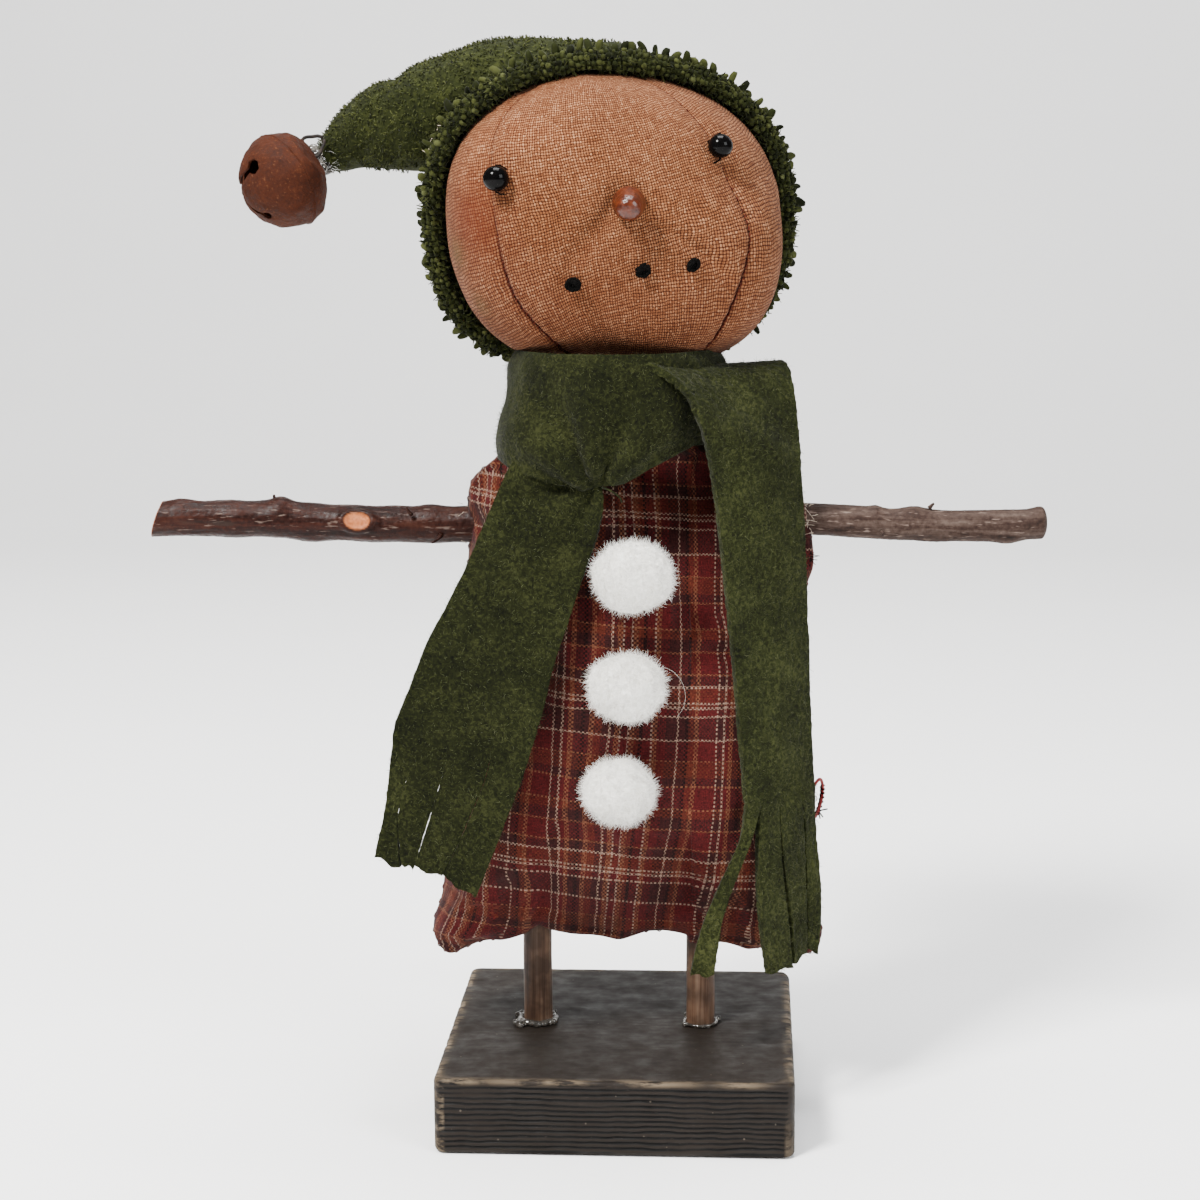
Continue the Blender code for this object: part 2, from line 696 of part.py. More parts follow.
def rim_frame():
    """The rim plane's middle, its up and right directions and its forward normal."""
    yaw = Matrix.Rotation(RIM_YAW, 3, "Z")
    middle = HEAD_CENTRE + Vector((0, RIM_Y, 0))
    up = yaw @ Vector((0, -math.sin(RIM_TILT), math.cos(RIM_TILT)))
    right = yaw @ Vector((1, 0, 0))
    forward = yaw @ Vector((0, -math.cos(RIM_TILT), -math.sin(RIM_TILT)))
    return middle, up, right, forward


def rim_point(degrees):
    """The rolled edge's centre line; 0 is the top and 90 the viewer's right."""
    middle, up, right, _ = rim_frame()
    angle = math.radians(degrees)
    direction = up * math.cos(angle) + right * math.sin(angle)
    sag = RIM_SAG * math.exp(-(((degrees - 222) / 28) ** 2))
    return middle + direction * (head_reach(middle, direction, ROLL_RADIUS + GAP + 0.2 * MM) + sag)


def make_brim():
    count = 32
    line = [rim_point(360 * i / count) for i in range(count)]
    forward = rim_frame()[3]
    rings = []
    for i, point in enumerate(line):
        tangent = line[(i + 1) % count] - line[i - 1]
        rings.append(circle(point, tangent, ROLL_RADIUS, 8, forward))
    add_mesh("hat_brim_roll", *loft(rings, closed=True), CHENILLE_GREEN)


def tapered(line, sides, hint=Vector((0, 0, 1))):
    """Rings along ((x, y, z), radius) stations given in millimetres."""
    places = [Vector(place) * MM for place, _ in line]
    rings = []
    for i, (_, radius) in enumerate(line):
        tangent = places[min(i + 1, len(places) - 1)] - places[max(i - 1, 0)]
        rings.append(circle(places[i], tangent, radius * MM, sides, hint))
    return rings


def make_crown():
    """Cloth behind the rim: the head's shape grown, with the horn that the tail springs from."""
    crown = grown_head("hat_crown", CROWN_CLEARANCE + CHENILLE, CHENILLE_GREEN, 24, 14)
    horn = add_mesh("cut_horn", *loft(tapered(HORN, 18)), CHENILLE_GREEN)
    combine(crown, horn, "UNION")
    combine(crown, grown_head("cut_crown_inside", CROWN_CLEARANCE, CHENILLE_GREEN, 24, 14))
    middle, up, right, forward = rim_frame()
    size = 90 * MM
    face = []
    for a, b in ((-1, -1), (1, -1), (1, 1), (-1, 1)):
        face.append(middle - forward * (ROLL_RADIUS + GAP) + (right * a + up * b) * size)
    front = [point + forward * size for point in face]
    combine(crown, add_mesh("cut_crown_front", *loft([face, front]), CHENILLE_GREEN))
    socket = revolve(ball_profile(TAIL_BALL + 1.5 * GAP, 12), 20, TAIL_PIVOT, Vector((1, 0, 0)))
    combine(crown, add_mesh("cut_tail_socket", *socket, CHENILLE_GREEN))
    return crown


def tail_rings(shrink, end_trim):
    """Rings of the tail: part of a ball round its pivot, then the tapering cone."""
    first = Vector(TAIL_LINE[0][0]) * MM - TAIL_PIVOT
    way = first.normalized()
    rings = []
    for degrees in (32, 50, 70, 90):
        angle = math.radians(degrees)
        radius = TAIL_BALL - shrink
        centre = TAIL_PIVOT - way * radius * math.cos(angle)
        rings.append(circle(centre, way, radius * math.sin(angle), 18))
    line = [(place, radius - shrink / MM) for place, radius in TAIL_LINE]
    body = tapered([(tuple(TAIL_PIVOT / MM), TAIL_BALL / MM)] + line, 18)
    rings += body[1:-1] if end_trim else body[1:]
    return rings


def make_tail(ring_cutter):
    outer = tail_rings(0.0, False)
    inner = tail_rings(TAIL_CLOTH, True)
    count = len(outer[0])
    verts = [point for ring in outer + inner for point in ring]
    faces = []
    for block, start in ((outer, 0), (inner, len(outer) * count)):
        for i in range(len(block) - 1):
            for j in range(count):
                k = (j + 1) % count
                a = start + i * count
                faces.append((a + j, a + k, a + count + k, a + count + j))
        last = start + (len(block) - 1) * count
        faces.append(tuple(range(last, last + count)))
    inside = len(outer) * count
    for j in range(count):
        k = (j + 1) % count
        faces.append((j, k, inside + k, inside + j))
    tail = add_mesh("hat_tail", verts, faces, CHENILLE_GREEN, TAIL_PIVOT)
    combine(tail, ring_cutter)
    fill_rings = tail_rings(TAIL_CLOTH + 1.5 * GAP, True)[:-1]
    fill = add_mesh("hat_tail_stuffing", *loft(fill_rings), FIBRE, TAIL_PIVOT)
    attach(fill, tail)
    return tail


# ---- jingle bell -------------------------------------------------------------------------------


def bell_half(name, way):
    """One pressed half of the bell, opening at its equator."""
    outer = []
    inner = []
    steps = 5
    lip = 0.15 * MM
    for i in range(steps + 1):
        angle = math.radians(88.9 - (88.9 - 4) * i / steps)
        outer.append((BELL_RADIUS * math.sin(angle), way * max(lip, BELL_RADIUS * math.cos(angle))))
        hollow = BELL_RADIUS - BELL_WALL
        inner.append((hollow * math.sin(angle), way * max(lip, hollow * math.cos(angle))))
    if way > 0:
        outer[0] = (BELL_RADIUS + 0.5 * MM, lip)
        outer.insert(1, (BELL_RADIUS + 0.5 * MM, 1.1 * MM))
    sides = 20
    rings_out = revolve(outer, sides, BELL_CENTRE, BELL_AXIS)[0]
    rings_in = revolve(inner, sides, BELL_CENTRE, BELL_AXIS)[0]
    verts = rings_out + rings_in
    faces = []
    for count, start in ((len(outer), 0), (len(inner), len(rings_out))):
        for i in range(count - 1):
            for j in range(sides):
                k = (j + 1) % sides
                a = start + i * sides
                faces.append((a + j, a + k, a + sides + k, a + sides + j))
        last = start + (count - 1) * sides
        faces.append(tuple(range(last, last + sides)))
    inside = len(rings_out)
    for j in range(sides):
        k = (j + 1) % sides
        faces.append((j, k, inside + k, inside + j))
    return add_mesh(name, verts, faces, RUSTY_STEEL, BELL_CENTRE)


def slot_axes():
    """The slots' frame: x along the first slot, y along the second, z away from their crossing."""
    side = BELL_SLOT_SIDE - BELL_SLOT_AXIS * BELL_SLOT_SIDE.dot(BELL_SLOT_AXIS)
    x = side.normalized()
    return x, BELL_SLOT_AXIS.cross(x), BELL_SLOT_AXIS


def make_slots(lower):
    """Two crossed slots through the lower half, each ending in round holes."""
    x, y, z = slot_axes()
    reach = BELL_RADIUS * math.sin(BELL_SLOT_ANGLE)
    depth = BELL_RADIUS * math.cos(BELL_SLOT_ANGLE)
    for number, (along, across) in enumerate(((x, y), (y, x))):
        half = across * BELL_SLOT_WIDTH / 2
        centre = BELL_CENTRE - z * depth
        face = [centre + along * a * reach + half * b for a, b in ((-1, -1), (1, -1), (1, 1), (-1, 1))]
        low = [point - z * BELL_RADIUS for point in face]
        combine(lower, add_mesh(f"cut_slot_{number}", *loft([face, low]), RUSTY_STEEL))
        for way in (-1, 1):
            aim = (along * way * math.sin(BELL_SLOT_ANGLE) - z * math.cos(BELL_SLOT_ANGLE)).normalized()
            start = BELL_CENTRE + aim * (BELL_RADIUS - 3 * MM)
            end = BELL_CENTRE + aim * (BELL_RADIUS + 2 * MM)
            hole = post(f"cut_slot_hole_{number}_{way + 1}", start, end, BELL_HOLE_RADIUS, 12)
            combine(lower, hole)


def loop_ring(name, radius, wire, sides, finish):
    """A wire ring in the plane of the bell's axis and the vertical."""
    flat = BELL_AXIS.cross(Vector((0, 0, 1))).normalized()
    centre = BELL_CENTRE + BELL_AXIS * LOOP_OFFSET
    count = 20
    rings = []
    for i in range(count):
        angle = 2 * math.pi * i / count
        other = flat.cross(BELL_AXIS)
        spoke = BELL_AXIS * math.cos(angle) + other * math.sin(angle)
        tangent = other * math.cos(angle) - BELL_AXIS * math.sin(angle)
        rings.append(circle(centre + spoke * radius, tangent, wire, sides, flat))
    return add_mesh(name, *loft(rings, closed=True), finish, BELL_CENTRE)


def make_bell(tail):
    upper = bell_half("bell_upper", 1)
    lower = bell_half("bell_lower", -1)
    make_slots(lower)
    keep_off = revolve(ball_profile(BELL_RADIUS + GAP, 12), 24, BELL_CENTRE, BELL_AXIS)
    clear_ball = add_mesh("cut_bell_clearance", *keep_off, RUSTY_STEEL)
    loop = loop_ring("bell_loop", LOOP_RADIUS, LOOP_WIRE, 6, WIRE_STEEL)
    combine(loop, clear_ball)
    down = Vector((0, 0, -1))
    rest = BELL_CENTRE + down * (BELL_RADIUS - BELL_WALL - PELLET_RADIUS - 2 * GAP)
    ball = revolve(ball_profile(PELLET_RADIUS, 8), 12, rest, Vector((0, 0, 1)))
    pellet = add_mesh("bell_pellet", *ball, RUSTY_STEEL, rest)
    tip = Vector(TAIL_LINE[-1][0]) * MM
    aim = (tip - BELL_CENTRE).normalized()
    far = (tip - BELL_CENTRE).length - 2.6 * MM
    blob = [(3.0 * MM, 0.72 * far), (5.0 * MM, 0.80 * far), (5.2 * MM, 0.9 * far), (3.8 * MM, far)]
    glue = add_mesh("bell_glue", *revolve(blob, 16, BELL_CENTRE, aim, lobes=0.06), CLEAR_GLUE, BELL_CENTRE)
    combine(glue, clear_ball)
    combine(glue, bpy.data.objects["cut_loop_slot"])
    for piece in (upper, lower, loop, pellet, glue):
        attach(piece, tail)


def make_hat():
    make_brim()
    make_crown()
    flat = BELL_AXIS.cross(Vector((0, 0, 1))).normalized()
    half = flat * (LOOP_WIRE + 1.4 * GAP)
    centre = BELL_CENTRE + BELL_AXIS * LOOP_OFFSET
    slot = post("cut_loop_slot", centre - half, centre + half, LOOP_RADIUS + LOOP_WIRE + 1.5 * GAP, 20)
    tail = make_tail(slot)
    make_bell(tail)


# ---- scarf -------------------------------------------------------------------------------------


def round_mix(values, angle):
    """A height round the neck from its front, side and back values; angle 0 is the front."""
    front, side, back = values["front"], values["side"], values["back"]
    end = front if math.cos(angle) > 0 else back
    return mix(side, end, math.cos(angle) ** 2)


def make_wrap():
    segments = 24
    cells = 3
    rings = []
    for i in range(segments):
        angle = 2 * math.pi * i / segments
        high = round_mix(WRAP_TOP, angle)
        low = round_mix(WRAP_LOW, angle)
        ring = []
        for side, steps in ((1, range(cells + 1)), (0, range(cells, -1, -1))):
            for j in steps:
                t = j / cells
                flare = 1 + WRAP_FLARE * (1 - 2 * t) + 0.04 * math.sin(math.pi * t)
                wide = WRAP_HALF_WIDTH * flare - (0 if side else WRAP_THICKNESS)
                deep = WRAP_HALF_DEPTH * flare - (0 if side else WRAP_THICKNESS)
                x = wide * math.sin(angle)
                y = WRAP_CENTRE_Y - deep * math.cos(angle)
                ring.append(Vector((x, y, mix(low, high, t))))
        rings.append(ring)
    add_mesh("scarf_neck_wrap", *loft(rings, closed=True), FELT_GREEN)


def strip_grids(rungs, columns, bow, thickness):
    """Outer and inner grids of a felt strip through its rungs, bowed between its edges."""
    edges = [(Vector(a) * MM, Vector(b) * MM) for a, b in rungs]
    outer = []
    inner = []
    for left, right in edges:
        outer.append([])
        inner.append([])
        span = right - left
        flat = Vector((span.x, span.y, 0))
        forward = Vector((flat.y, -flat.x, 0)).normalized()
        for j in range(columns + 1):
            t = j / columns
            point = left + span * t + forward * bow * math.sin(math.pi * t)
            outer[-1].append(point + forward * thickness / 2)
            inner[-1].append(point - forward * thickness / 2)
    return outer, inner


def make_scarf():
    make_wrap()
    left_pivot = (Vector(TAIL_LEFT_RUNGS[0][0]) + Vector(TAIL_LEFT_RUNGS[0][1])) / 2 * MM
    sheet_solid(*strip_grids(TAIL_LEFT_RUNGS, 5, 0.8 * MM, FELT), "scarf_tail_left", FELT_GREEN, left_pivot)
    right_pivot = (Vector(TAIL_RIGHT_RUNGS[0][0]) + Vector(TAIL_RIGHT_RUNGS[0][1])) / 2 * MM
    grids = strip_grids(TAIL_RIGHT_RUNGS, 6, 3.2 * MM, FELT)
    right = sheet_solid(*grids, "scarf_tail_right", FELT_GREEN, right_pivot)
    for number, (top, end) in enumerate(FRINGES_RIGHT):
        rows = []
        for i in range(5):
            t = i / 4
            rows.append([tuple(mix(Vector(a), Vector(b), t)) for a, b in zip(top, end)])
        bow = (0.2 if number == 0 else 2.2) * MM
        grids = strip_grids(rows, 4, bow, FELT * 0.8)
        combine(right, sheet_solid(*grids, f"cut_fringe_{number}", FELT_GREEN), "UNION")
    angle = math.asin(TACK_CENTRE.x / WRAP_HALF_WIDTH)
    out = WRAP_HALF_DEPTH * (1 + 1.05 * WRAP_FLARE) * math.cos(angle)
    centre = Vector((TACK_CENTRE.x, WRAP_CENTRE_Y - out - 1.3 * MM, TACK_CENTRE.z))
    facing = Vector((math.sin(angle), -math.cos(angle), 0))
    rings = []
    for i in range(12):
        turn_angle = 2 * math.pi * i / 12
        across = facing.cross(Vector((0, 0, 1)))
        spoke = across * math.cos(turn_angle) + Vector((0, 0, 1)) * math.sin(turn_angle)
        tangent = Vector((0, 0, 1)) * math.cos(turn_angle) - across * math.sin(turn_angle)
        rings.append(circle(centre + spoke * 1.5 * MM, tangent, 0.5 * MM, 6, facing))
    add_mesh("scarf_tack_stitch", *loft(rings, closed=True), FELT_GREEN)


# ---- hang-tag loop -----------------------------------------------------------------------------


def smooth_route(route, steps):
    """Points of a Catmull-Rom curve through the route."""
    points = [Vector(place) * MM for place in route]
    line = [points[0] * 2 - points[1]] + points + [points[-1] * 2 - points[-2]]
    made = []
    for i in range(1, len(line) - 2):
        a, b, c, d = line[i - 1 : i + 3]
        for k in range(steps):
            t = k / steps
            square = (2 * a - 5 * b + 4 * c - d) * t**2
            cube = (3 * b - a - 3 * c + d) * t**3
            made.append((2 * b + (c - a) * t + square + cube) / 2)
    made.append(points[-1])
    return made


def make_tag_loop():
    curve = bpy.data.curves.new("tag_loop", "CURVE")
    curve.dimensions = "3D"
    curve.bevel_depth = TAG_CORD_RADIUS
    curve.bevel_resolution = 2
    curve.use_fill_caps = True
    line = smooth_route(TAG_ROUTE, TAG_CORD_STEPS)
    spline = curve.splines.new("POLY")
    spline.points.add(len(line) - 1)
    for point, place in zip(spline.points, line):
        point.co = (*place, 1.0)
    cord = bpy.data.objects.new("tag_loop", curve)
    curve.materials.append(finish_material("tag_loop", CORD_RED))
    bpy.context.scene.collection.objects.link(cord)


def main():
    clear_scene()
    make_block()
    make_leg("left", LEG_LEFT_X, GLUE_LEFT_RADIUS)
    make_leg("right", LEG_RIGHT_X, GLUE_RIGHT_RADIUS)
    neck_cutter = make_body()
    make_arms()
    make_head(neck_cutter)
    make_face()
    make_pompoms()
    make_hat()
    make_scarf()
    make_tag_loop()


main()
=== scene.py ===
"""Looks of the cloth snowman doll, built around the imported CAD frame.

The frame gives each part's place. This script replaces the plain solids with cloth, felt, pile,
bark, stained wood and rusty steel, each with a procedural material. Units are metres.
"""

import math
import random

import bmesh
import bpy
import numpy as np
from mathutils import Matrix, Vector, noise


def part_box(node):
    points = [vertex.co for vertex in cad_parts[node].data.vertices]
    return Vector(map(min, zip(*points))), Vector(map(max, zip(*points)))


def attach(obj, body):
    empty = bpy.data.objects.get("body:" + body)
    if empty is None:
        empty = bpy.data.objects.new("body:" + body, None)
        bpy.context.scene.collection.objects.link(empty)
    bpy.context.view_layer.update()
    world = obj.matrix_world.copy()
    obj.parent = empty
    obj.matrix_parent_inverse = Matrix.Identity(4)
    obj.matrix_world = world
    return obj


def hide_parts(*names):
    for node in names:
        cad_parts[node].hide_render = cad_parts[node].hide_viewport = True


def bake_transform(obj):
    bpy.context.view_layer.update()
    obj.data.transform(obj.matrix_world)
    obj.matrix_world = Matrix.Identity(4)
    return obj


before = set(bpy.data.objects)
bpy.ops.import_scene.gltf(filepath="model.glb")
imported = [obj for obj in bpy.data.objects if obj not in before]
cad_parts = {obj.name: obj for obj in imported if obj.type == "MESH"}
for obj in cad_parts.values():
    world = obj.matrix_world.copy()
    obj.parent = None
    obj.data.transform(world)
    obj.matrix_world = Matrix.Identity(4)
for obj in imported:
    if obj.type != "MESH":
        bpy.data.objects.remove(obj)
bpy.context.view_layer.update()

MM = 0.001
UP = Vector((0, 0, 1))

# The viewpoint: camera place, yaw, downward pitch and roll in radians, lens in millimetres.
CAMERA_PLACE = Vector((0.0318, -0.6122, 0.2338))
CAMERA_YAW = 0.0602
CAMERA_PITCH = 0.1655
CAMERA_ROLL = -0.0064
CAMERA_LENS = 73.1
LIGHT_TARGET = Vector((0, 0, 0.14))
WORLD_STRENGTH = 0.16

# Block: the radius of its upright corners and the rounding of its edges.
BLOCK_CORNER = 3 * MM
BLOCK_EDGE = 1.0 * MM

# Head: the CAD head's centre, half sizes and turns, with its boxiness in each quarter. Angles are in
# degrees; the nose's place is its azimuth and latitude, its length and radius are in millimetres.
HEAD_CENTRE = Vector((-1.3, 0.0, 229.0)) * MM
HEAD_HALF_WIDTH = 41.3 * MM
HEAD_FRONT = 33.0 * MM
HEAD_BACK = 32.0 * MM
HEAD_TOP = 34.5 * MM
HEAD_BOTTOM = 38.5 * MM
HEAD_POWER_LEFT = 2.4
HEAD_POWER_LOW_RIGHT = 3.0
HEAD_POWER_HIGH_RIGHT = 1.95
HEAD_YAW = math.radians(5)
HEAD_TURN = Matrix.Rotation(HEAD_YAW, 3, "Z") @ Matrix.Rotation(math.radians(-2.5), 3, "Y")
FACE_TURN = Matrix.Rotation(HEAD_YAW, 3, "Z") @ Matrix.Rotation(math.radians(-8), 3, "Y")
SIDE_SEAM_ANGLE = 130
NOSE_SPOT = (5.4, 3.7)
NOSE_LENGTH = 9
NOSE_RADIUS = 4
LINEN_THICKNESS = 0.9 * MM
THREAD_PITCH = 0.70

# Cap: the rim's plane and the centre line of its tail with radii, in millimetres.
RIM_MIDDLE = HEAD_CENTRE + Vector((0, 5.0, 0)) * MM
RIM_TILT = math.atan(0.42)
RIM_YAW = Matrix.Rotation(math.radians(12), 3, "Z")
RIM_UP = RIM_YAW @ Vector((0, -math.sin(RIM_TILT), math.cos(RIM_TILT)))
RIM_RIGHT = RIM_YAW @ Vector((1, 0, 0))
RIM_AHEAD = RIM_RIGHT.cross(RIM_UP).normalized()
ROLL_RADIUS = 2.7 * MM
CAP_CLOTH = 1.5 * MM
TAIL_BALLS = 46
TAIL_LINE = (
    ((-2.0, 12.0, 256.5), 15.0),
    ((-24.0, 9.0, 256.0), 16.2),
    ((-33.0, 7.0, 255.0), 16.0),
    ((-44.5, 4.4, 253.2), 13.9),
    ((-50.3, 4.6, 252.3), 12.6),
    ((-56.0, 5.0, 251.2), 11.2),
    ((-61.4, 6.8, 249.5), 9.6),
    ((-66.4, 8.3, 247.2), 7.7),
    ((-70.0, 8.6, 245.3), 6.0),
    ((-72.4, 7.9, 243.9), 4.6),
)

# Bell: its centre, the axis of its two halves, the axis of its crossed slots and one slot's side. Its
# flank is crushed: the share of the radius where that starts, and how much of what is beyond is pushed
# in. The wire loop stands beside the crushed flank.
BELL_CENTRE = Vector((-82.4, -3.0, 237.8)) * MM
BELL_AXIS = Vector((0.70, 0.56, 0.44)).normalized()
BELL_SLOT_AXIS = Vector((0.93, 0.25, 0.25)).normalized()
BELL_SLOT_SIDE = Vector((-0.50, -0.82, 0.27)).normalized()
BELL_RADIUS = 12.0 * MM
BELL_WALL = 0.6 * MM
BELL_CRUSH = Vector((0.75, -0.05, 0.66)).normalized()
BELL_CRUSH_FROM = 0.72
BELL_CRUSH_SHARE = 0.82
BELL_SLOT_REACH = math.radians(50)
BELL_LOOP_MIDDLE = BELL_CENTRE + Vector((6.4, 3.6, 8.2)) * MM
BELL_LOOP_UP = Vector((0.75, 0.35, 0.56)).normalized()
BELL_LOOP_SIDE = Vector((-0.62, 0.0, 0.78)).normalized()
BELL_LOOP_RADIUS = 2.6 * MM

# Pillow body: its outline in millimetres (x, z), bottom left to right and side up.
BODY_HEM = (
    (-47.8, 39.0), (-44.9, 37.2), (-41.0, 38.8), (-36.9, 40.6), (-30.9, 41.5), (-25.4, 43.4),
    (-22.0, 45.4), (-18.0, 44.6), (-12.0, 43.9), (-5.9, 43.4), (-0.2, 42.7), (7.4, 43.9),
    (16.0, 43.9), (18.2, 40.9), (25.9, 41.4), (31.9, 40.1), (36.8, 39.6), (44.0, 38.2), (49.5, 38.6),
)
BODY_TOP = (
    (-38.3, 159.5), (-37.0, 163.0), (-34.0, 165.6), (-30.8, 168.0), (-24.0, 170.5), (-12.0, 172.5),
    (4.0, 173.0), (18.0, 171.8), (30.0, 168.5), (38.0, 165.5), (43.0, 162.5), (46.0, 159.0),
)
BODY_LEFT = (
    (-47.8, 39.0), (-49.3, 43.0), (-49.0, 47.5), (-47.5, 51.6), (-46.4, 57.0), (-44.8, 75.0),
    (-43.0, 95.0), (-41.2, 115.0), (-39.4, 135.0), (-38.4, 147.0), (-38.8, 154.0), (-38.3, 159.5),
)
BODY_RIGHT = (
    (49.5, 38.6), (51.6, 42.0), (52.1, 45.0), (50.8, 52.0), (49.9, 60.0), (48.9, 80.0), (48.2, 100.0),
    (47.6, 120.0), (47.4, 134.0), (48.6, 139.5), (48.9, 144.0), (47.8, 152.0), (46.0, 159.0),
)
BODY_HALF_DEPTH = 23.5 * MM
POMPOM_HEIGHTS = (142.1, 115.1, 89.0)
PILLOW_POWER = 0.45
CLOTH = 0.8 * MM
SEAM_HALF_THICKNESS = 1.2 * MM
GATHER_REACH = 1.8 * MM

# Felt strips: rungs of (inner or left edge, outer or right edge) in millimetres.
FELT_THICKNESS = 1.9 * MM
FELT_ROUNDING = 0.45 * MM
FELT_COLUMNS = 60
TAIL_LEFT = (
    ((-20.5, -21.0, 173.5), (-7.0, -24.5, 172.0)),
    ((-25.0, -24.6, 168.2), (-3.6, -27.2, 165.5)),
    ((-28.6, -26.0, 161.0), (-2.6, -28.0, 158.5)),
    ((-31.7, -26.9, 154.0), (-4.3, -28.4, 151.0)),
    ((-36.2, -27.2, 143.8), (-8.0, -28.6, 140.3)),
    ((-41.2, -27.6, 134.0), (-11.5, -28.8, 129.8)),
    ((-46.2, -27.8, 124.4), (-15.0, -29.0, 119.3)),
    ((-50.2, -27.8, 114.4), (-17.3, -29.0, 109.9)),
    ((-54.1, -27.8, 105.4), (-20.0, -28.9, 100.5)),
)
TAIL_LEFT_TONGUES = (
    (0.00, 0.15, (((-55.6, -27.8, 94.8), (-50.9, -28.0, 93.9)), ((-57.2, -27.8, 83.0), (-54.0, -28.0, 82.0)),
                  ((-60.0, -27.8, 71.2), (-53.6, -28.0, 68.2)))),
    (0.15, 0.40, (((-50.8, -28.0, 94.0), (-42.5, -28.3, 93.0)), ((-53.8, -28.0, 82.2), (-46.4, -28.3, 80.6)),
                  ((-53.2, -28.0, 69.4), (-50.3, -28.3, 68.4)))),
    (0.40, 0.72, (((-42.4, -28.3, 93.0), (-32.0, -28.5, 91.8)), ((-46.2, -28.3, 80.6), (-37.2, -28.5, 79.0)),
                  ((-50.1, -28.3, 68.9), (-43.1, -28.5, 66.2)))),
    (0.72, 1.00, (((-31.8, -28.5, 91.8), (-23.2, -28.6, 90.8)), ((-37.0, -28.5, 79.0), (-28.3, -28.4, 77.6)),
                  ((-42.9, -28.4, 66.4), (-34.9, -28.0, 60.6)))),
)
TAIL_RIGHT = (
    ((6.0, 14.0, 185.0), (30.0, 19.0, 182.0)),
    ((5.0, 2.0, 188.5), (37.0, 6.0, 188.0)),
    ((4.0, -10.0, 189.5), (40.5, -3.0, 191.6)),
    ((4.3, -21.0, 192.4), (42.0, -8.0, 190.6)),
    ((7.6, -28.0, 193.2), (43.0, -10.5, 187.2)),
    ((13.5, -31.0, 190.3), (43.9, -10.5, 180.8)),
    ((18.5, -31.0, 185.0), (44.4, -10.0, 174.0)),
    ((21.8, -30.0, 176.1), (45.0, -9.5, 166.0)),
    ((24.0, -28.0, 166.0), (45.6, -9.0, 157.0)),
    ((25.6, -26.0, 152.0), (46.2, -9.0, 147.0)),
    ((27.5, -24.6, 135.0), (46.8, -8.0, 133.0)),
    ((29.2, -24.0, 118.0), (47.4, -7.5, 117.0)),
    ((30.8, -24.0, 100.0), (48.1, -7.5, 100.0)),
    ((32.2, -24.0, 84.0), (49.0, -7.5, 84.0)),
)
TAIL_RIGHT_TONGUES = (
    (0.00, 0.18, (((30.6, -24.6, 75.0), (33.8, -24.0, 76.2)), ((26.2, -25.6, 65.0), (29.6, -25.0, 65.4)),
                  ((22.2, -26.4, 55.5), (26.6, -25.8, 56.0)), ((19.9, -27.0, 48.0), (25.4, -26.4, 48.5)),
                  ((18.6, -27.2, 41.2), (24.4, -26.8, 41.0)))),
    (0.18, 0.48, (((35.1, -22.6, 76.0), (40.2, -18.0, 76.0)), ((35.2, -22.8, 64.0), (41.2, -17.8, 64.0)),
                  ((36.2, -22.8, 52.0), (42.6, -17.0, 51.6)), ((37.8, -22.6, 40.2), (43.6, -16.6, 40.2)))),
    (0.48, 0.80, (((40.6, -17.8, 76.0), (46.2, -11.6, 76.0)), ((41.8, -17.2, 64.0), (46.7, -11.6, 64.0)),
                  ((43.3, -16.4, 52.0), (47.2, -11.4, 52.0)), ((44.0, -16.0, 40.8), (47.2, -11.4, 42.6)))),
    (0.80, 1.00, (((46.5, -11.2, 76.0), (49.2, -7.6, 76.0)), ((47.1, -11.2, 64.0), (50.4, -7.8, 63.0)),
                  ((47.7, -11.2, 52.0), (51.0, -8.4, 52.0)), ((47.6, -11.2, 44.0), (50.2, -9.0, 41.6)))),
)
WRAP_CENTRE_Y = -4.0 * MM
WRAP_HALF_WIDTH = 25.6 * MM
WRAP_HALF_DEPTH = 25.0 * MM
PINCH = (-4.0, 164.5)

# Hang-tag loop: the cord's route in metres.
TAG_CORD_RADIUS = 0.42 * MM
TAG_ROUTE = (
    (0.0492, 0.0024, 0.0816),
    (0.0502, 0.0046, 0.0826),
    (0.0513, 0.0084, 0.0828),
    (0.0521, 0.0128, 0.0812),
    (0.0524, 0.0154, 0.0786),
    (0.0521, 0.0146, 0.0758),
    (0.0511, 0.0102, 0.0737),
    (0.0501, 0.0054, 0.0734),
    (0.0495, 0.0022, 0.0746),
)


# ---- mesh tools --------------------------------------------------------------------------------


def mix(a, b, t):
    return a + (b - a) * t


def vector_mm(triple):
    return Vector(triple) * MM


def smoothstep(low, high, value):
    t = min(1.0, max(0.0, (value - low) / (high - low)))
    return t * t * (3 - 2 * t)


def bell_curve(distance, width):
    return math.exp(-((distance / width) ** 2))


def grain(point, size, seed=0.0):
    """Smooth noise from -1 to 1 whose lumps have the given size in metres."""
    return noise.noise(Vector(point) / size + Vector((seed, seed * 1.7, -seed)))


def curve_at(points, s):
    """A point on the Catmull-Rom curve through the points, s from 0 to 1."""
    place = min(max(s, 0.0), 1.0) * (len(points) - 1)
    i = min(int(place), len(points) - 2)
    t = place - i
    a, b, c, d = (points[min(max(i + k, 0), len(points) - 1)] for k in (-1, 0, 1, 2))
    square = (2 * a - 5 * b + 4 * c - d) * t * t
    cube = (3 * b - a - 3 * c + d) * t * t * t
    return (2 * b + (c - a) * t + square + cube) / 2


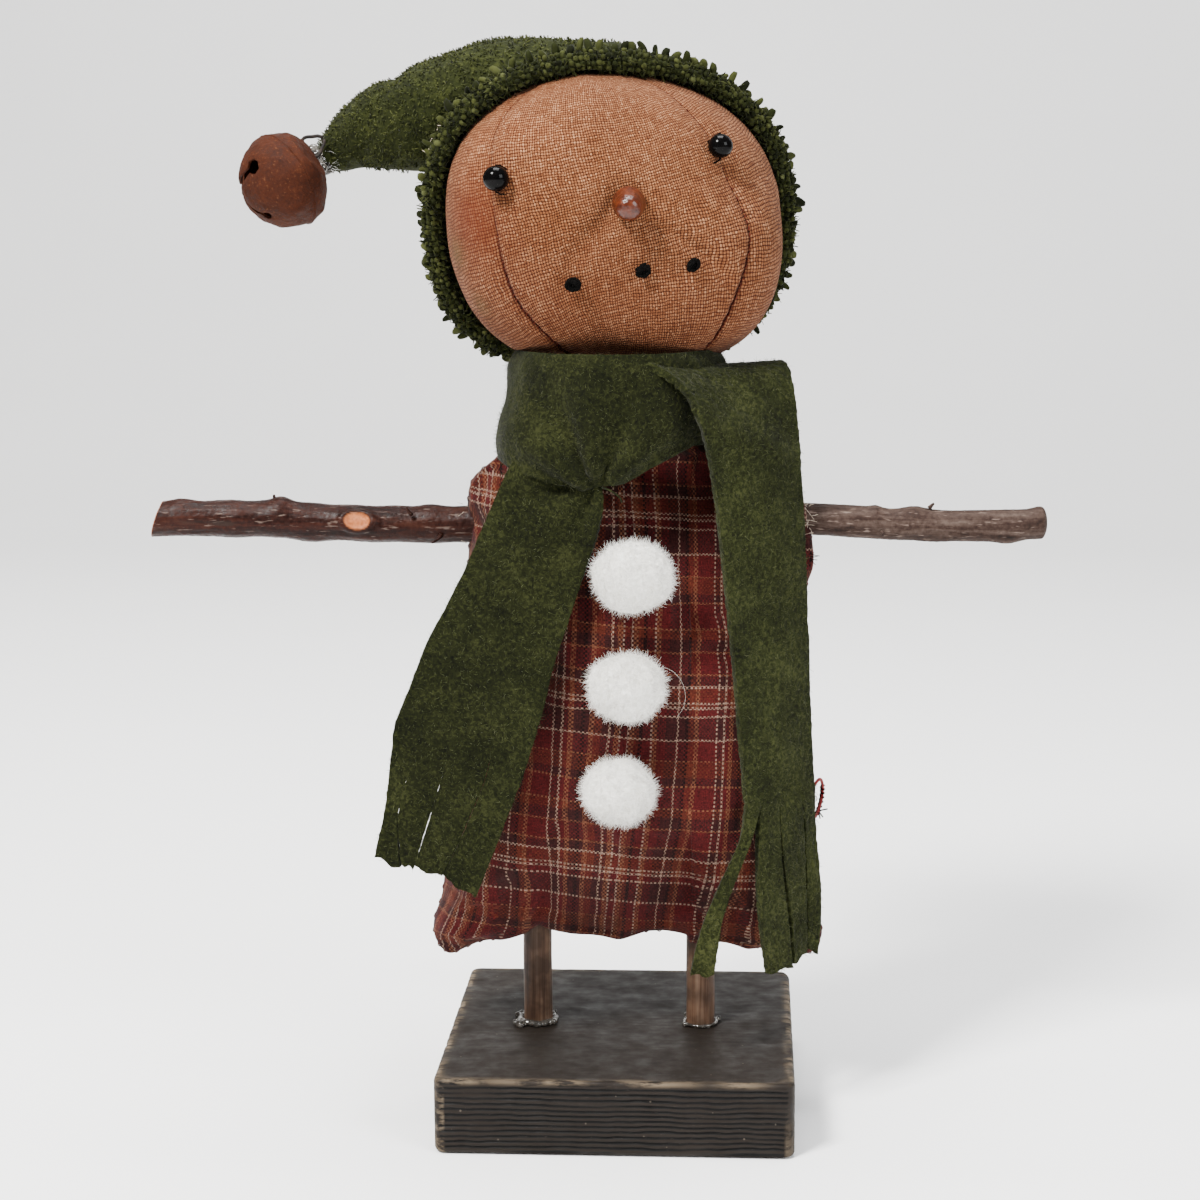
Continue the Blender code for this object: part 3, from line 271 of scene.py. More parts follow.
def even_curve(points, count):
    """count points at even distances along the smooth curve through the points."""
    fine = [curve_at(points, i / (12 * count)) for i in range(12 * count + 1)]
    lengths = [0.0]
    for here, there in zip(fine, fine[1:]):
        lengths.append(lengths[-1] + (there - here).length)
    made = []
    k = 0
    for i in range(count):
        target = lengths[-1] * i / (count - 1)
        while k < len(fine) - 2 and lengths[k + 1] < target:
            k += 1
        span = max(lengths[k + 1] - lengths[k], 1e-12)
        made.append(fine[k].lerp(fine[k + 1], (target - lengths[k]) / span))
    return made


def grid_faces(rows, columns, start=0, around=False, flip=False):
    """Quads of a grid of points; around joins the last column to the first."""
    faces = []
    for i in range(rows - 1):
        for j in range(columns if around else columns - 1):
            k = (j + 1) % columns
            quad = (start + i * columns + j, start + i * columns + k,
                    start + (i + 1) * columns + k, start + (i + 1) * columns + j)
            faces.append(quad[::-1] if flip else quad)
    return faces


def link_mesh(name, mesh, material):
    mesh.shade_smooth()
    mesh.materials.append(material)
    made = bpy.data.objects.new(name, mesh)
    bpy.context.scene.collection.objects.link(made)
    return made


def make_object(name, verts, faces, material):
    mesh = bpy.data.meshes.new(name)
    mesh.from_pydata([tuple(v) for v in verts], [], faces)
    return link_mesh(name, mesh, material)


def finish_bmesh(name, work, material):
    """Makes an object of a bmesh and frees it."""
    mesh = bpy.data.meshes.new(name)
    work.to_mesh(mesh)
    work.free()
    return link_mesh(name, mesh, material)


def box_middle(node):
    low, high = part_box(node)
    return (Vector(low) + Vector(high)) / 2


def toss(dice, *spans):
    """A random vector whose parts lie within the three spans."""
    return Vector([dice.uniform(low, high) for low, high in spans])


def face_out(made):
    """Turns every face of a closed mesh outward."""
    work = bmesh.new()
    work.from_mesh(made.data)
    bmesh.ops.recalc_face_normals(work, faces=work.faces)
    work.to_mesh(made.data)
    work.free()
    return made


def apply_modifiers(made):
    graph = bpy.context.evaluated_depsgraph_get()
    mesh = bpy.data.meshes.new_from_object(made.evaluated_get(graph))
    made.modifiers.clear()
    made.data = mesh


def thicken(made, thickness, offset=-1.0, rounding=0.0):
    """Makes a closed thin solid of an open surface, with rounded rims."""
    solid = made.modifiers.new("thickness", "SOLIDIFY")
    solid.thickness = thickness
    solid.offset = offset
    if rounding:
        bevel = made.modifiers.new("rounding", "BEVEL")
        bevel.width = rounding
        bevel.segments = 2
        bevel.angle_limit = math.radians(50)
    apply_modifiers(made)


def store(made, name, values):
    """Keeps a vector for each vertex, for the material to read."""
    attribute = made.data.attributes.new(name, "FLOAT_VECTOR", "POINT")
    attribute.data.foreach_set("vector", np.array(values, np.float32).reshape(-1, 3).ravel())


def remember(made, weave=None, mask=None):
    """Stores each vertex's rest place, its place in the weave in millimetres, and its masks."""
    places = [v.co.copy() for v in made.data.vertices]
    store(made, "rest", places)
    if weave:
        store(made, "weave", [weave(place) for place in places])
    if mask:
        store(made, "mask", [mask(place) for place in places])
    return made


def tube(points, radii, sides, start):
    """Vertices and faces of a closed round tube along points."""
    verts = []
    side = None
    for i, point in enumerate(points):
        along = (points[min(i + 1, len(points) - 1)] - points[max(i - 1, 0)]).normalized()
        if side is None:
            side = along.orthogonal().normalized()
        side = (side - along * side.dot(along)).normalized()
        up = along.cross(side)
        for j in range(sides):
            angle = 2 * math.pi * j / sides
            verts.append(point + (side * math.cos(angle) + up * math.sin(angle)) * radii[i])
    faces = grid_faces(len(points), sides, start, around=True)
    faces.append(tuple(start + j for j in reversed(range(sides))))
    last = start + (len(points) - 1) * sides
    faces.append(tuple(last + j for j in range(sides)))
    return verts, faces


def tubes(name, lines, radius, sides, material, taper=1.0):
    """One object of several round tubes; taper is the end radius as a share of the first."""
    verts = []
    faces = []
    for line in lines:
        radii = [radius * mix(1, taper, i / (len(line) - 1)) for i in range(len(line))]
        more, quads = tube(line, radii, sides, len(verts))
        verts += more
        faces += quads
    return make_object(name, verts, faces, material)


def unit_rows(rows):
    return rows / np.maximum(np.linalg.norm(rows, axis=1, keepdims=True), 1e-12)


def scatter(made, count, seed):
    """Even random places on a mesh with their normals, as two arrays."""
    mesh = made.data
    mesh.calc_loop_triangles()
    places = np.array([v.co for v in mesh.vertices])
    normals = np.array([v.normal for v in mesh.vertices])
    corners = np.array([t.vertices for t in mesh.loop_triangles])
    edges = places[corners[:, 1:]] - places[corners[:, :1]]
    areas = np.linalg.norm(np.cross(edges[:, 0], edges[:, 1]), axis=1)
    dice = np.random.default_rng(seed)
    picked = corners[dice.choice(len(corners), count, p=areas / areas.sum())]
    shares = dice.dirichlet((1, 1, 1), count)[:, :, None]
    return (places[picked] * shares).sum(1), unit_rows((normals[picked] * shares).sum(1))


NUB = (0.72, 1.0, 1.05, 0.72)
KNOB = (0.85, 1.0, 1.06, 1.06, 0.95, 0.62)
HAIR = (1.0, 0.85, 0.6, 0.25)


def strands(name, roots, ways, length, radius, material, seed, bend, shape=HAIR, sides=3):
    """Many small closed tufts or hairs from their roots, each with its own tint."""
    dice = np.random.default_rng(seed)
    count = len(roots)
    ways = unit_rows(ways)
    side = unit_rows(np.cross(ways, dice.normal(size=(count, 3))))
    other = np.cross(ways, side)
    lengths = length * dice.uniform(0.55, 1.25, (count, 1))
    widths = radius * dice.uniform(0.7, 1.25, (count, 1))
    turn = dice.uniform(0, 2 * math.pi, (count, 1))
    lean = (side * np.cos(turn) + other * np.sin(turn)) * dice.uniform(0.3, 1.0, (count, 1)) * bend
    rings = []
    for i, swell in enumerate(shape):
        t = i / (len(shape) - 1)
        middle = roots + (ways * t + lean * t * t) * lengths
        for j in range(sides):
            angle = 2 * math.pi * j / sides
            rings.append(middle + (side * math.cos(angle) + other * math.sin(angle)) * widths * swell)
    per = len(rings)
    verts = np.stack(rings, 1).reshape(-1, 3)
    base = np.array(grid_faces(len(shape), sides, around=True))
    quads = (base[None] + (np.arange(count) * per)[:, None, None]).reshape(-1, 4)
    caps = np.array([[*reversed(range(sides))], [per - sides + j for j in range(sides)]])
    ends = (caps[None] + (np.arange(count) * per)[:, None, None]).reshape(-1, sides)
    made = make_object(name, verts, quads.tolist() + ends.tolist(), material)
    tints = np.repeat(dice.uniform(0, 1, (count, 3)), per, axis=0)
    store(made, "tint", tints)
    store(made, "rest", verts)
    return made


def place(made, body="figure", slot=None, stands_for=()):
    """Rides a piece on a body and hides the CAD nodes it stands for; slot is not used."""
    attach(made, body)
    if stands_for:
        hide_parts(*stands_for)
    return made


# ---- materials ---------------------------------------------------------------------------------


class Look:
    """One procedural material; sockets take a number, a colour or another node's output."""

    def __init__(self, name, **values):
        self.material = bpy.data.materials.new(name)
        self.material.use_nodes = True
        self.tree = self.material.node_tree
        self.shader = self.tree.nodes["Principled BSDF"]
        self.set(**values)

    def feed(self, socket, value):
        if isinstance(value, bpy.types.NodeSocket):
            self.tree.links.new(value, socket)
        elif isinstance(value, tuple) and socket.type == "RGBA":
            socket.default_value = (*value, 1.0)
        else:
            socket.default_value = value

    def set(self, **values):
        """Feeds the shader's sockets, their names written with underscores."""
        for name, value in values.items():
            self.feed(self.shader.inputs[name.replace("_", " ").title().replace("Ior", "IOR")], value)

    def add(self, kind, values, **settings):
        node = self.tree.nodes.new("ShaderNode" + kind)
        for name, value in settings.items():
            setattr(node, name, value)
        for name, value in values.items():
            self.feed(node.inputs[name], value)
        return node

    def place(self, name="rest", stretch=(1, 1, 1), move=(0, 0, 0)):
        """A stored vector such as the rest place, in metres, stretched to texture units."""
        stored = self.add("Attribute", {}, attribute_name=name).outputs["Vector"]
        return self.stretch(stored, stretch, move)

    def own_place(self, stretch):
        return self.stretch(self.add("TexCoord", {}).outputs["Object"], stretch)

    def stretch(self, vector, stretch, move=(0, 0, 0)):
        values = {"Vector": vector, "Scale": stretch, "Location": move}
        return self.add("Mapping", values).outputs["Vector"]

    def split(self, vector):
        return self.add("SeparateXYZ", {"Vector": vector}).outputs

    def lumps(self, vector, scale, detail=3.0, roughness=0.55, distortion=0.0):
        values = {"Vector": vector, "Scale": scale, "Detail": detail, "Roughness": roughness,
                  "Distortion": distortion}
        return self.add("TexNoise", values).outputs["Fac"]

    def cells(self, vector, scale):
        return self.add("TexVoronoi", {"Vector": vector, "Scale": scale}).outputs["Distance"]

    def math(self, operation, a, b):
        return self.add("Math", {0: a, 1: b}, operation=operation).outputs[0]

    def ramp(self, value, stops, step=False):
        """stops are (place, colour) or (place, grey)."""
        node = self.add("ValToRGB", {"Fac": value})
        band = node.color_ramp
        band.interpolation = "CONSTANT" if step else "LINEAR"
        while len(band.elements) < len(stops):
            band.elements.new(1.0)
        for element, (spot, colour) in zip(band.elements, stops):
            element.position = spot
            element.color = (*colour, 1) if isinstance(colour, tuple) else (colour, colour, colour, 1)
        return node.outputs["Color"]

    def blend(self, share, a, b, kind="MIX"):
        node = self.add("Mix", {0: share, 6: a, 7: b}, data_type="RGBA", blend_type=kind)
        return node.outputs[2]

    def bump(self, height, distance, strength):
        values = {"Height": height, "Distance": distance, "Strength": strength}
        self.feed(self.shader.inputs["Normal"], self.add("Bump", values).outputs["Normal"])

    def tint(self):
        return self.split(self.add("Attribute", {}, attribute_name="tint").outputs["Vector"])


def block_wood():
    look = Look("stained block wood", roughness=0.7, specular_ior_level=0.14)
    spot = look.place()
    sides = look.split(look.place("mask"))
    base = look.ramp(look.lumps(spot, 60, 4, 0.6), [
        (0.3, (0.0078, 0.0054, 0.0038)), (0.5, (0.0090, 0.0063, 0.0045)), (0.72, (0.0108, 0.0077, 0.0056))])
    lines = look.ramp(look.lumps(look.place("rest", (60, 900, 60)), 1.0, 3, 0.6, 0.4), [
        (0.38, 0.0), (0.46, 1.0), (1.0, 1.0)])
    base = look.blend(look.math("MULTIPLY", sides["Y"], 0.35), base,
                      look.blend(lines, (0.0038, 0.0026, 0.0021), base))
    grooves = look.blend(look.ramp(sides["X"], [(0.03, 0.0), (0.36, 1.0)]), base, (0.0009, 0.0006, 0.0005))
    pores = look.ramp(look.lumps(look.place("rest", (700, 1600, 1600)), 1.0, 2), [(0.66, 0.0), (0.78, 1.0)])
    specked = look.blend(look.math("MULTIPLY", pores, 0.35), grooves, (0.035, 0.027, 0.021))
    rub = look.ramp(look.lumps(look.place("rest", (110, 420, 420)), 1.0, 4, 0.7), [(0.42, 0.0), (0.56, 1.0)])
    worn = look.math("MULTIPLY", sides["Z"], rub)
    colour = look.blend(worn, specked, (0.150, 0.112, 0.072))
    dots = look.ramp(look.cells(spot, 230), [(0.045, 1.0), (0.07, 0.0)])
    colour = look.blend(look.math("MULTIPLY", dots, 0.6), colour, (0.078, 0.064, 0.049))
    look.set(base_color=colour, roughness=look.ramp(look.lumps(spot, 180), [(0.3, 0.5), (0.7, 0.75)]))
    fine = look.lumps(look.place("rest", (120, 2200, 900)), 1.0, 3, 0.6)
    look.bump(fine, 0.00012, 0.35)
    return look.material


def dowel_wood():
    look = Look("stained dowel wood", roughness=0.6, specular_ior_level=0.15)
    spot = look.place()
    streaks = look.lumps(look.place("rest", (700, 700, 16)), 1.0, 4, 0.65, 0.6)
    colour = look.ramp(streaks, [(0.30, (0.018, 0.008, 0.0045)), (0.46, (0.068, 0.036, 0.021)),
                                 (0.60, (0.105, 0.064, 0.042)), (0.78, (0.150, 0.100, 0.068))])
    blotch = look.ramp(look.lumps(spot, 120, 3), [(0.42, 0.45), (0.6, 1.0)])
    look.set(base_color=look.blend(1.0, colour, blotch, "MULTIPLY"))
    look.bump(streaks, 0.0003, 0.6)
    return look.material


def bark(name, stops, shine, streak=0.5):
    look = Look(name, roughness=shine, specular_ior_level=0.09)
    spot = look.place()
    mask = look.split(look.place("mask"))
    long = look.lumps(look.place("rest", (40, 420, 420)), 1.0, 4, 0.65, 0.5)
    small = look.lumps(spot, 900, 4, 0.6)
    colour = look.ramp(look.blend(0.35, long, small), stops)
    flecks = look.ramp(look.lumps(look.place("rest", (260, 1500, 1500)), 1.0, 2), [(0.62, 0.0), (0.72, 1.0)])
    colour = look.blend(look.math("MULTIPLY", flecks, streak), colour, (0.15, 0.11, 0.090))
    colour = look.blend(mask["Y"], colour,
                        look.ramp(small, [(0.3, (0.20, 0.055, 0.017)), (0.7, (0.36, 0.125, 0.048))]))
    colour = look.blend(mask["X"], colour,
                        look.ramp(small, [(0.3, (0.22, 0.056, 0.020)), (0.7, (0.40, 0.135, 0.058))]))
    colour = look.blend(mask["Z"], colour, (0.015, 0.009, 0.007))
    look.set(base_color=colour, roughness=look.ramp(small, [(0.35, shine - 0.05), (0.7, shine + 0.2)]))
    look.bump(look.blend(0.5, long, small), 0.0004, 0.6)
    return look.material


def glue_gloss():
    look = Look("hot glue", roughness=0.12, specular_ior_level=0.5, transmission_weight=0.85, ior=1.48)
    murk = look.lumps(look.place(), 500, 3)
    look.set(base_color=look.ramp(murk, [(0.3, (0.08, 0.07, 0.06)), (0.7, (0.27, 0.25, 0.22))]))
    look.bump(murk, 0.0003, 0.4)
    return look.material


def bands(look, value, period, stops):
    """Stripes that repeat every period millimetres, their places given in millimetres."""
    turned = look.math("FRACT", look.math("DIVIDE", value, period), 0.0)
    spots = [(max(0.0, min(1.0, spot / period)), colour) for spot, colour in stops]
    return look.ramp(turned, spots, step=True)


CREAM = (0.165, 0.105, 0.078)
TAN = (0.098, 0.034, 0.0170)
BRICK = (0.055, 0.0100, 0.0050)
BURGUNDY = (0.045, 0.0040, 0.0042)
PLUM = (0.0210, 0.0046, 0.0042)
INK = (0.0045, 0.0019, 0.0017)

# The plaid, in millimetres: its visible weave's pitch, its yarn's width, and where each stripe begins.
PLAID_PITCH = 1.10
PLAID_YARN = 0.27
WARP_FROM = -18.5
WARP_PERIOD = 41.5
WARP = (
    (0.0, BURGUNDY), (4.4, CREAM), (4.95, PLUM), (6.6, CREAM), (7.15, BURGUNDY), (8.4, TAN), (9.6, PLUM),
    (11.5, INK), (12.4, PLUM), (13.4, TAN), (14.6, BRICK), (16.6, PLUM), (18.3, CREAM), (18.85, PLUM),
    (19.9, TAN), (21.1, CREAM), (21.65, BURGUNDY), (23.2, CREAM), (23.75, TAN), (25.0, BRICK), (26.1, INK),
    (27.0, BURGUNDY), (28.9, CREAM), (29.45, TAN), (30.6, BURGUNDY), (32.6, PLUM), (35.2, CREAM),
    (35.75, PLUM), (37.4, INK), (38.2, BRICK), (39.6, TAN), (40.8, BURGUNDY),
)
WEFT_FROM = 36.0
WEFT_PERIOD = 45.5
WEFT = (
    (0.0, BRICK), (2.1, TAN), (2.6, BURGUNDY), (8.1, TAN), (8.6, PLUM), (10.6, BRICK), (14.7, TAN),
    (15.1, BURGUNDY), (20.0, CREAM), (20.5, PLUM), (26.0, CREAM), (26.5, BURGUNDY), (28.2, CREAM),
    (28.8, BRICK), (29.4, CREAM), (30.0, BRICK), (33.4, CREAM), (34.0, PLUM), (36.4, TAN), (36.9, BURGUNDY),
    (41.9, TAN), (42.4, PLUM),
)


def plaid_cotton():
    look = Look("plaid cotton", roughness=0.92, specular_ior_level=0.08, sheen_weight=0.03,
                sheen_roughness=0.5)
    thread = look.split(look.place("weave"))
    wander = look.math("MULTIPLY_ADD", look.lumps(look.place("weave", (0.08, 0.08, 1)), 1.0, 2), 1.2)
    across = look.math("ADD", thread["X"], look.math("SUBTRACT", wander, 0.6))
    upward = look.math("ADD", thread["Y"], look.math("SUBTRACT", wander, 0.6))
    warp = bands(look, look.math("SUBTRACT", across, WARP_FROM), WARP_PERIOD, WARP)
    weft = bands(look, look.math("SUBTRACT", upward, WEFT_FROM), WEFT_PERIOD, WEFT)
    column = look.math("FRACT", look.math("DIVIDE", across, PLAID_PITCH), 0.0)
    row = look.math("FRACT", look.math("DIVIDE", upward, PLAID_PITCH), 0.0)
    odd = look.math("GREATER_THAN", column, 0.5)
    even = look.math("GREATER_THAN", row, 0.5)
    over = look.math("ABSOLUTE", look.math("SUBTRACT", odd, even), 0.0)
    colour = look.blend(over, warp, weft)
    upright = look.lumps(look.place("weave", (3.2, 0.55, 1)), 1.0, 2, 0.6)
    level = look.lumps(look.place("weave", (0.55, 3.2, 1)), 1.0, 2, 0.6)
    fleck = look.blend(over, upright, level)
    colour = look.blend(1.0, colour, look.ramp(fleck, [(0.30, 0.25), (0.48, 0.85), (0.70, 1.75)]), "MULTIPLY")
    faded = look.lumps(look.place("rest"), 26, 3, 0.5)
    colour = look.blend(1.0, colour, look.ramp(faded, [(0.3, 0.78), (0.7, 1.12)]), "MULTIPLY")
    look.set(base_color=colour)
    turn = 2 * math.pi / PLAID_YARN
    hump = look.math("SINE", look.math("MULTIPLY", across, turn), 0.0)
    hump = look.math("ADD", hump, look.math("SINE", look.math("MULTIPLY", upward, turn), 0.0))
    look.bump(look.math("ADD", hump, look.math("MULTIPLY", fleck, 3.0)), 0.00005, 0.6)
    return look.material


def linen():
    look = Look("tea dyed linen", roughness=0.95, specular_ior_level=0.06, sheen_weight=0.02,
                sheen_roughness=0.5)
    spot = look.place()
    soft = look.lumps(look.place("weave", (0.16, 0.16, 1)), 1.0, 3, 0.5)
    push = look.math("MULTIPLY", look.math("SUBTRACT", soft, 0.5), 1.7)
    thread = look.split(look.place("weave"))
    slub_x = look.lumps(look.place("weave", (1.25, 0.22, 1)), 1.0, 3, 0.6)
    slub_y = look.lumps(look.place("weave", (0.22, 1.25, 1)), 1.0, 3, 0.6)
    across = look.math("ADD", look.math("ADD", thread["X"], push), look.math("MULTIPLY", slub_x, 0.08))
    upward = look.math("ADD", look.math("SUBTRACT", thread["Y"], push), look.math("MULTIPLY", slub_y, 0.08))
    turn = math.pi / THREAD_PITCH
    wave_x = look.math("SINE", look.math("MULTIPLY", across, turn), 0.0)
    wave_y = look.math("SINE", look.math("MULTIPLY", upward, turn), 0.0)
    ridge_x = look.math("ABSOLUTE", wave_x, 0.0)
    ridge_y = look.math("ABSOLUTE", wave_y, 0.0)
    cross = look.math("MULTIPLY", look.math("SIGN", wave_x, 0.0), look.math("SIGN", wave_y, 0.0))
    top = look.math("GREATER_THAN", cross, 0.0)
    height = look.math("MULTIPLY", look.math("POWER", ridge_x, 0.55), look.math("POWER", ridge_y, 0.55))
    yarn = look.blend(top, slub_x, slub_y)
    base = look.ramp(yarn, [(0.32, (0.092, 0.031, 0.0120)), (0.50, (0.182, 0.070, 0.0290)),
                            (0.66, (0.310, 0.150, 0.076))])
    gap = look.ramp(height, [(0.30, 0.0), (0.74, 1.0)])
    colour = look.blend(gap, (0.026, 0.0062, 0.0026), base)
    stain = look.lumps(spot, 55, 4, 0.6)
    colour = look.blend(1.0, colour, look.ramp(stain, [(0.3, (0.80, 0.74, 0.66)), (0.55, (1.0, 1.0, 1.0)),
                                                       (0.75, (1.12, 1.10, 1.06))]), "MULTIPLY")
    mask = look.split(look.place("mask"))
    colour = look.blend(mask["X"], colour, (0.072, 0.0110, 0.0032))
    colour = look.blend(mask["Y"], colour, (0.060, 0.042, 0.013))
    # Mask Z darkens the seams and adds painted shade towards the bottom and the left of the head.
    colour = look.blend(mask["Z"], colour, (0.030, 0.005, 0.003))
    look.set(base_color=colour)
    look.bump(look.math("ADD", height, look.math("MULTIPLY", yarn, 0.6)), 0.00018, 0.75)
    return look.material


def pile(name, stops):
    """Fibres coloured by their own tint and by broad mottling over the piece."""
    look = Look(name, roughness=0.95, specular_ior_level=0.06, sheen_weight=0.04, sheen_roughness=0.4)
    tints = look.tint()
    broad = look.lumps(look.place(), 160, 3)
    look.set(base_color=look.ramp(look.blend(0.4, tints["X"], broad), stops))
    return look.material


def ground_cloth(name, stops, scale, height=0.0004):
    """The backing of felt, velour or wool: fibrous mottling with a matching relief."""
    look = Look(name, roughness=0.95, specular_ior_level=0.06, sheen_weight=0.04, sheen_roughness=0.4)
    spot = look.place()
    fine = look.lumps(spot, scale, 4, 0.65, 0.8)
    broad = look.lumps(spot, 90, 3)
    colour = look.ramp(look.blend(0.3, fine, broad), stops)
    look.set(base_color=colour)
    look.bump(fine, height, 0.8)
    return look.material


def bead_gloss():
    look = Look("black bead", roughness=0.08, specular_ior_level=0.06)
    look.set(base_color=look.ramp(look.lumps(look.place(), 600),
                                  [(0.3, (0.0010, 0.0010, 0.0010)), (0.7, (0.0025, 0.0022, 0.0022))]))
    return look.material


def thread_dull(name, dark, light):
    look = Look(name, roughness=0.9, specular_ior_level=0.03)
    spot = look.place()
    twist = look.lumps(spot, 2600, 2)
    look.set(base_color=look.ramp(twist, [(0.35, dark), (0.65, light)]))
    look.bump(twist, 0.0001, 0.6)
    return look.material


def nose_paint():
    look = Look("brown nose", roughness=0.30, specular_ior_level=0.35)
    spot = look.place()
    streak = look.lumps(look.place("rest", (900, 300, 900)), 1.0, 3)
    colour = look.ramp(streak, [(0.32, (0.022, 0.0034, 0.0008)), (0.55, (0.054, 0.0092, 0.0020)),
                                (0.75, (0.082, 0.0165, 0.0040))])
    look.set(base_color=colour)
    look.bump(look.lumps(spot, 1500), 0.0002, 0.5)
    return look.material


def rust():
    look = Look("rusty steel", roughness=0.8, specular_ior_level=0.07)
    spot = look.place()
    broad = look.lumps(spot, 150, 5, 0.68, 0.4)
    fine = look.lumps(spot, 1500, 4, 0.7)
    patch = look.blend(0.62, broad, fine)
    colour = look.ramp(patch, [(0.32, (0.0130, 0.0042, 0.0022)), (0.46, (0.026, 0.0068, 0.0029)),
                               (0.56, (0.038, 0.0098, 0.0038)), (0.68, (0.060, 0.0190, 0.0075))])
    specks = look.ramp(look.lumps(spot, 1500, 2), [(0.64, 0.0), (0.70, 1.0)])
    colour = look.blend(look.math("MULTIPLY", specks, 0.5), colour, (0.095, 0.042, 0.0200))
    look.set(base_color=colour, roughness=look.ramp(patch, [(0.36, 0.55), (0.6, 0.85)]))
    look.bump(look.blend(0.65, broad, fine), 0.0006, 0.7)
    return look.material


def wire_metal():
    look = Look("dark wire", roughness=0.6, specular_ior_level=0.15)
    look.set(base_color=look.ramp(look.lumps(look.place(), 900),
                                  [(0.35, (0.004, 0.003, 0.0025)), (0.65, (0.018, 0.012, 0.009))]))
    return look.material


def red_cord():
    look = Look("red cord", roughness=0.75, specular_ior_level=0.12, sheen_weight=0.05)
    spot = look.own_place((1000, 1000, 1000))
    values = {"Vector": spot, "Scale": 0.9, "Distortion": 1.5, "Detail": 1.0}
    ply = look.add("TexWave", values, wave_type="BANDS", bands_direction="DIAGONAL").outputs["Fac"]
    look.set(base_color=look.ramp(ply, [(0.25, (0.035, 0.0010, 0.0014)), (0.6, (0.150, 0.0030, 0.0042)),
                                        (0.9, (0.300, 0.018, 0.018))]))
    look.bump(ply, 0.0002, 0.7)
    return look.material


def studio_white():
    look = Look("studio floor", roughness=0.9, specular_ior_level=0.1)
    look.set(base_color=look.ramp(look.lumps(look.own_place((1, 1, 1)), 3.0),
                                  [(0.3, (0.90, 0.90, 0.90)), (0.7, (0.93, 0.93, 0.93))]))
    return look.material


WOOD_BLOCK = block_wood()
WOOD_DOWEL = dowel_wood()
BARK_RED = bark("reddish bark", [(0.34, (0.0025, 0.0007, 0.0004)), (0.46, (0.0100, 0.0023, 0.0012)),
                                 (0.56, (0.021, 0.0053, 0.0028)), (0.70, (0.036, 0.0125, 0.0070))], 0.40)
BARK_GREY = bark("grey bark", [(0.34, (0.0048, 0.0026, 0.0018)), (0.46, (0.022, 0.0118, 0.0086)),
                               (0.56, (0.042, 0.027, 0.0210)), (0.70, (0.080, 0.058, 0.047))], 0.62, 0.7)
GLUE = glue_gloss()
PLAID = plaid_cotton()
LINEN = linen()
WOOL = ground_cloth("white wool", [(0.3, (0.50, 0.48, 0.43)), (0.6, (0.76, 0.75, 0.70))], 900)
WOOL_HAIR = pile("white wool fibre", [(0.2, (0.58, 0.555, 0.50)), (0.65, (0.86, 0.85, 0.82))])
BEAD = bead_gloss()
THREAD_BLACK = thread_dull("black thread", (0.0006, 0.0006, 0.0006), (0.0030, 0.0026, 0.0024))
THREAD_RED = thread_dull("dark red thread", (0.026, 0.0055, 0.0036), (0.080, 0.017, 0.010))
THREAD_CREAM = thread_dull("cream thread", (0.26, 0.20, 0.15), (0.62, 0.54, 0.44))
NOSE = nose_paint()
FELT_CLOTH = ground_cloth("green felt", [(0.34, (0.0014, 0.0018, 0.0006)), (0.50, (0.0066, 0.0080, 0.0021)),
                                         (0.64, (0.0200, 0.0225, 0.0068))], 1100)
# The same green felt with its colours painted lighter, as painted light for the right tail, which faces the
# light more.
FELT_CLOTH_PAINTED_LIT = ground_cloth("green felt, painted lighter as lit", [
    (0.34, (0.0024, 0.0030, 0.0010)), (0.50, (0.0108, 0.0130, 0.0034)), (0.64, (0.031, 0.035, 0.0108))], 1100)
FELT_HAIR = pile("green felt fibre", [(0.2, (0.0100, 0.0122, 0.0036)), (0.55, (0.029, 0.033, 0.0105)),
                                      (0.85, (0.078, 0.085, 0.038))])
VELOUR = ground_cloth("green chenille", [(0.32, (0.0029, 0.0037, 0.0012)), (0.50, (0.0115, 0.0140, 0.0034)),
                                         (0.68, (0.028, 0.032, 0.0080))], 620, height=0.0006)
VELOUR_PILE = pile("green chenille pile", [(0.15, (0.0036, 0.0045, 0.0012)), (0.45, (0.0160, 0.0195, 0.0044)),
                                           (0.75, (0.040, 0.045, 0.0120)), (0.95, (0.068, 0.074, 0.025))])
BRIM_PILE = pile("green chenille loops", [(0.15, (0.0022, 0.0028, 0.0009)), (0.45, (0.0104, 0.0127, 0.0031)),
                                          (0.78, (0.033, 0.037, 0.0101)), (0.97, (0.071, 0.079, 0.033))])
RUST = rust()
WIRE = wire_metal()
CORD = red_cord()


# ---- camera, lights and floor ------------------------------------------------------------------


def add_camera():
    level = Vector((-math.sin(CAMERA_YAW), math.cos(CAMERA_YAW), 0))
    forward = level * math.cos(CAMERA_PITCH) - UP * math.sin(CAMERA_PITCH)
    right = Vector((math.cos(CAMERA_YAW), math.sin(CAMERA_YAW), 0))
    up = right.cross(forward)
    turned = right * math.cos(CAMERA_ROLL) + up * math.sin(CAMERA_ROLL)
    upright = up * math.cos(CAMERA_ROLL) - right * math.sin(CAMERA_ROLL)
    data = bpy.data.cameras.new("camera")
    data.lens = CAMERA_LENS
    data.sensor_width = 36
    data.clip_start = 0.01
    camera = bpy.data.objects.new("camera", data)
    bpy.context.scene.collection.objects.link(camera)
    pose = Matrix((turned, upright, -forward)).transposed().to_4x4()
    pose.translation = CAMERA_PLACE
    camera.matrix_world = pose
    bpy.context.scene.camera = camera


def add_softbox(name, spot, size, power, colour):
    data = bpy.data.lights.new(name, "AREA")
    data.shape = "SQUARE"
    data.size = size
    data.energy = power
    data.color = colour
    light = bpy.data.objects.new(name, data)
    light.location = spot
    light.rotation_euler = (LIGHT_TARGET - Vector(spot)).to_track_quat("-Z", "Y").to_euler()
    bpy.context.scene.collection.objects.link(light)


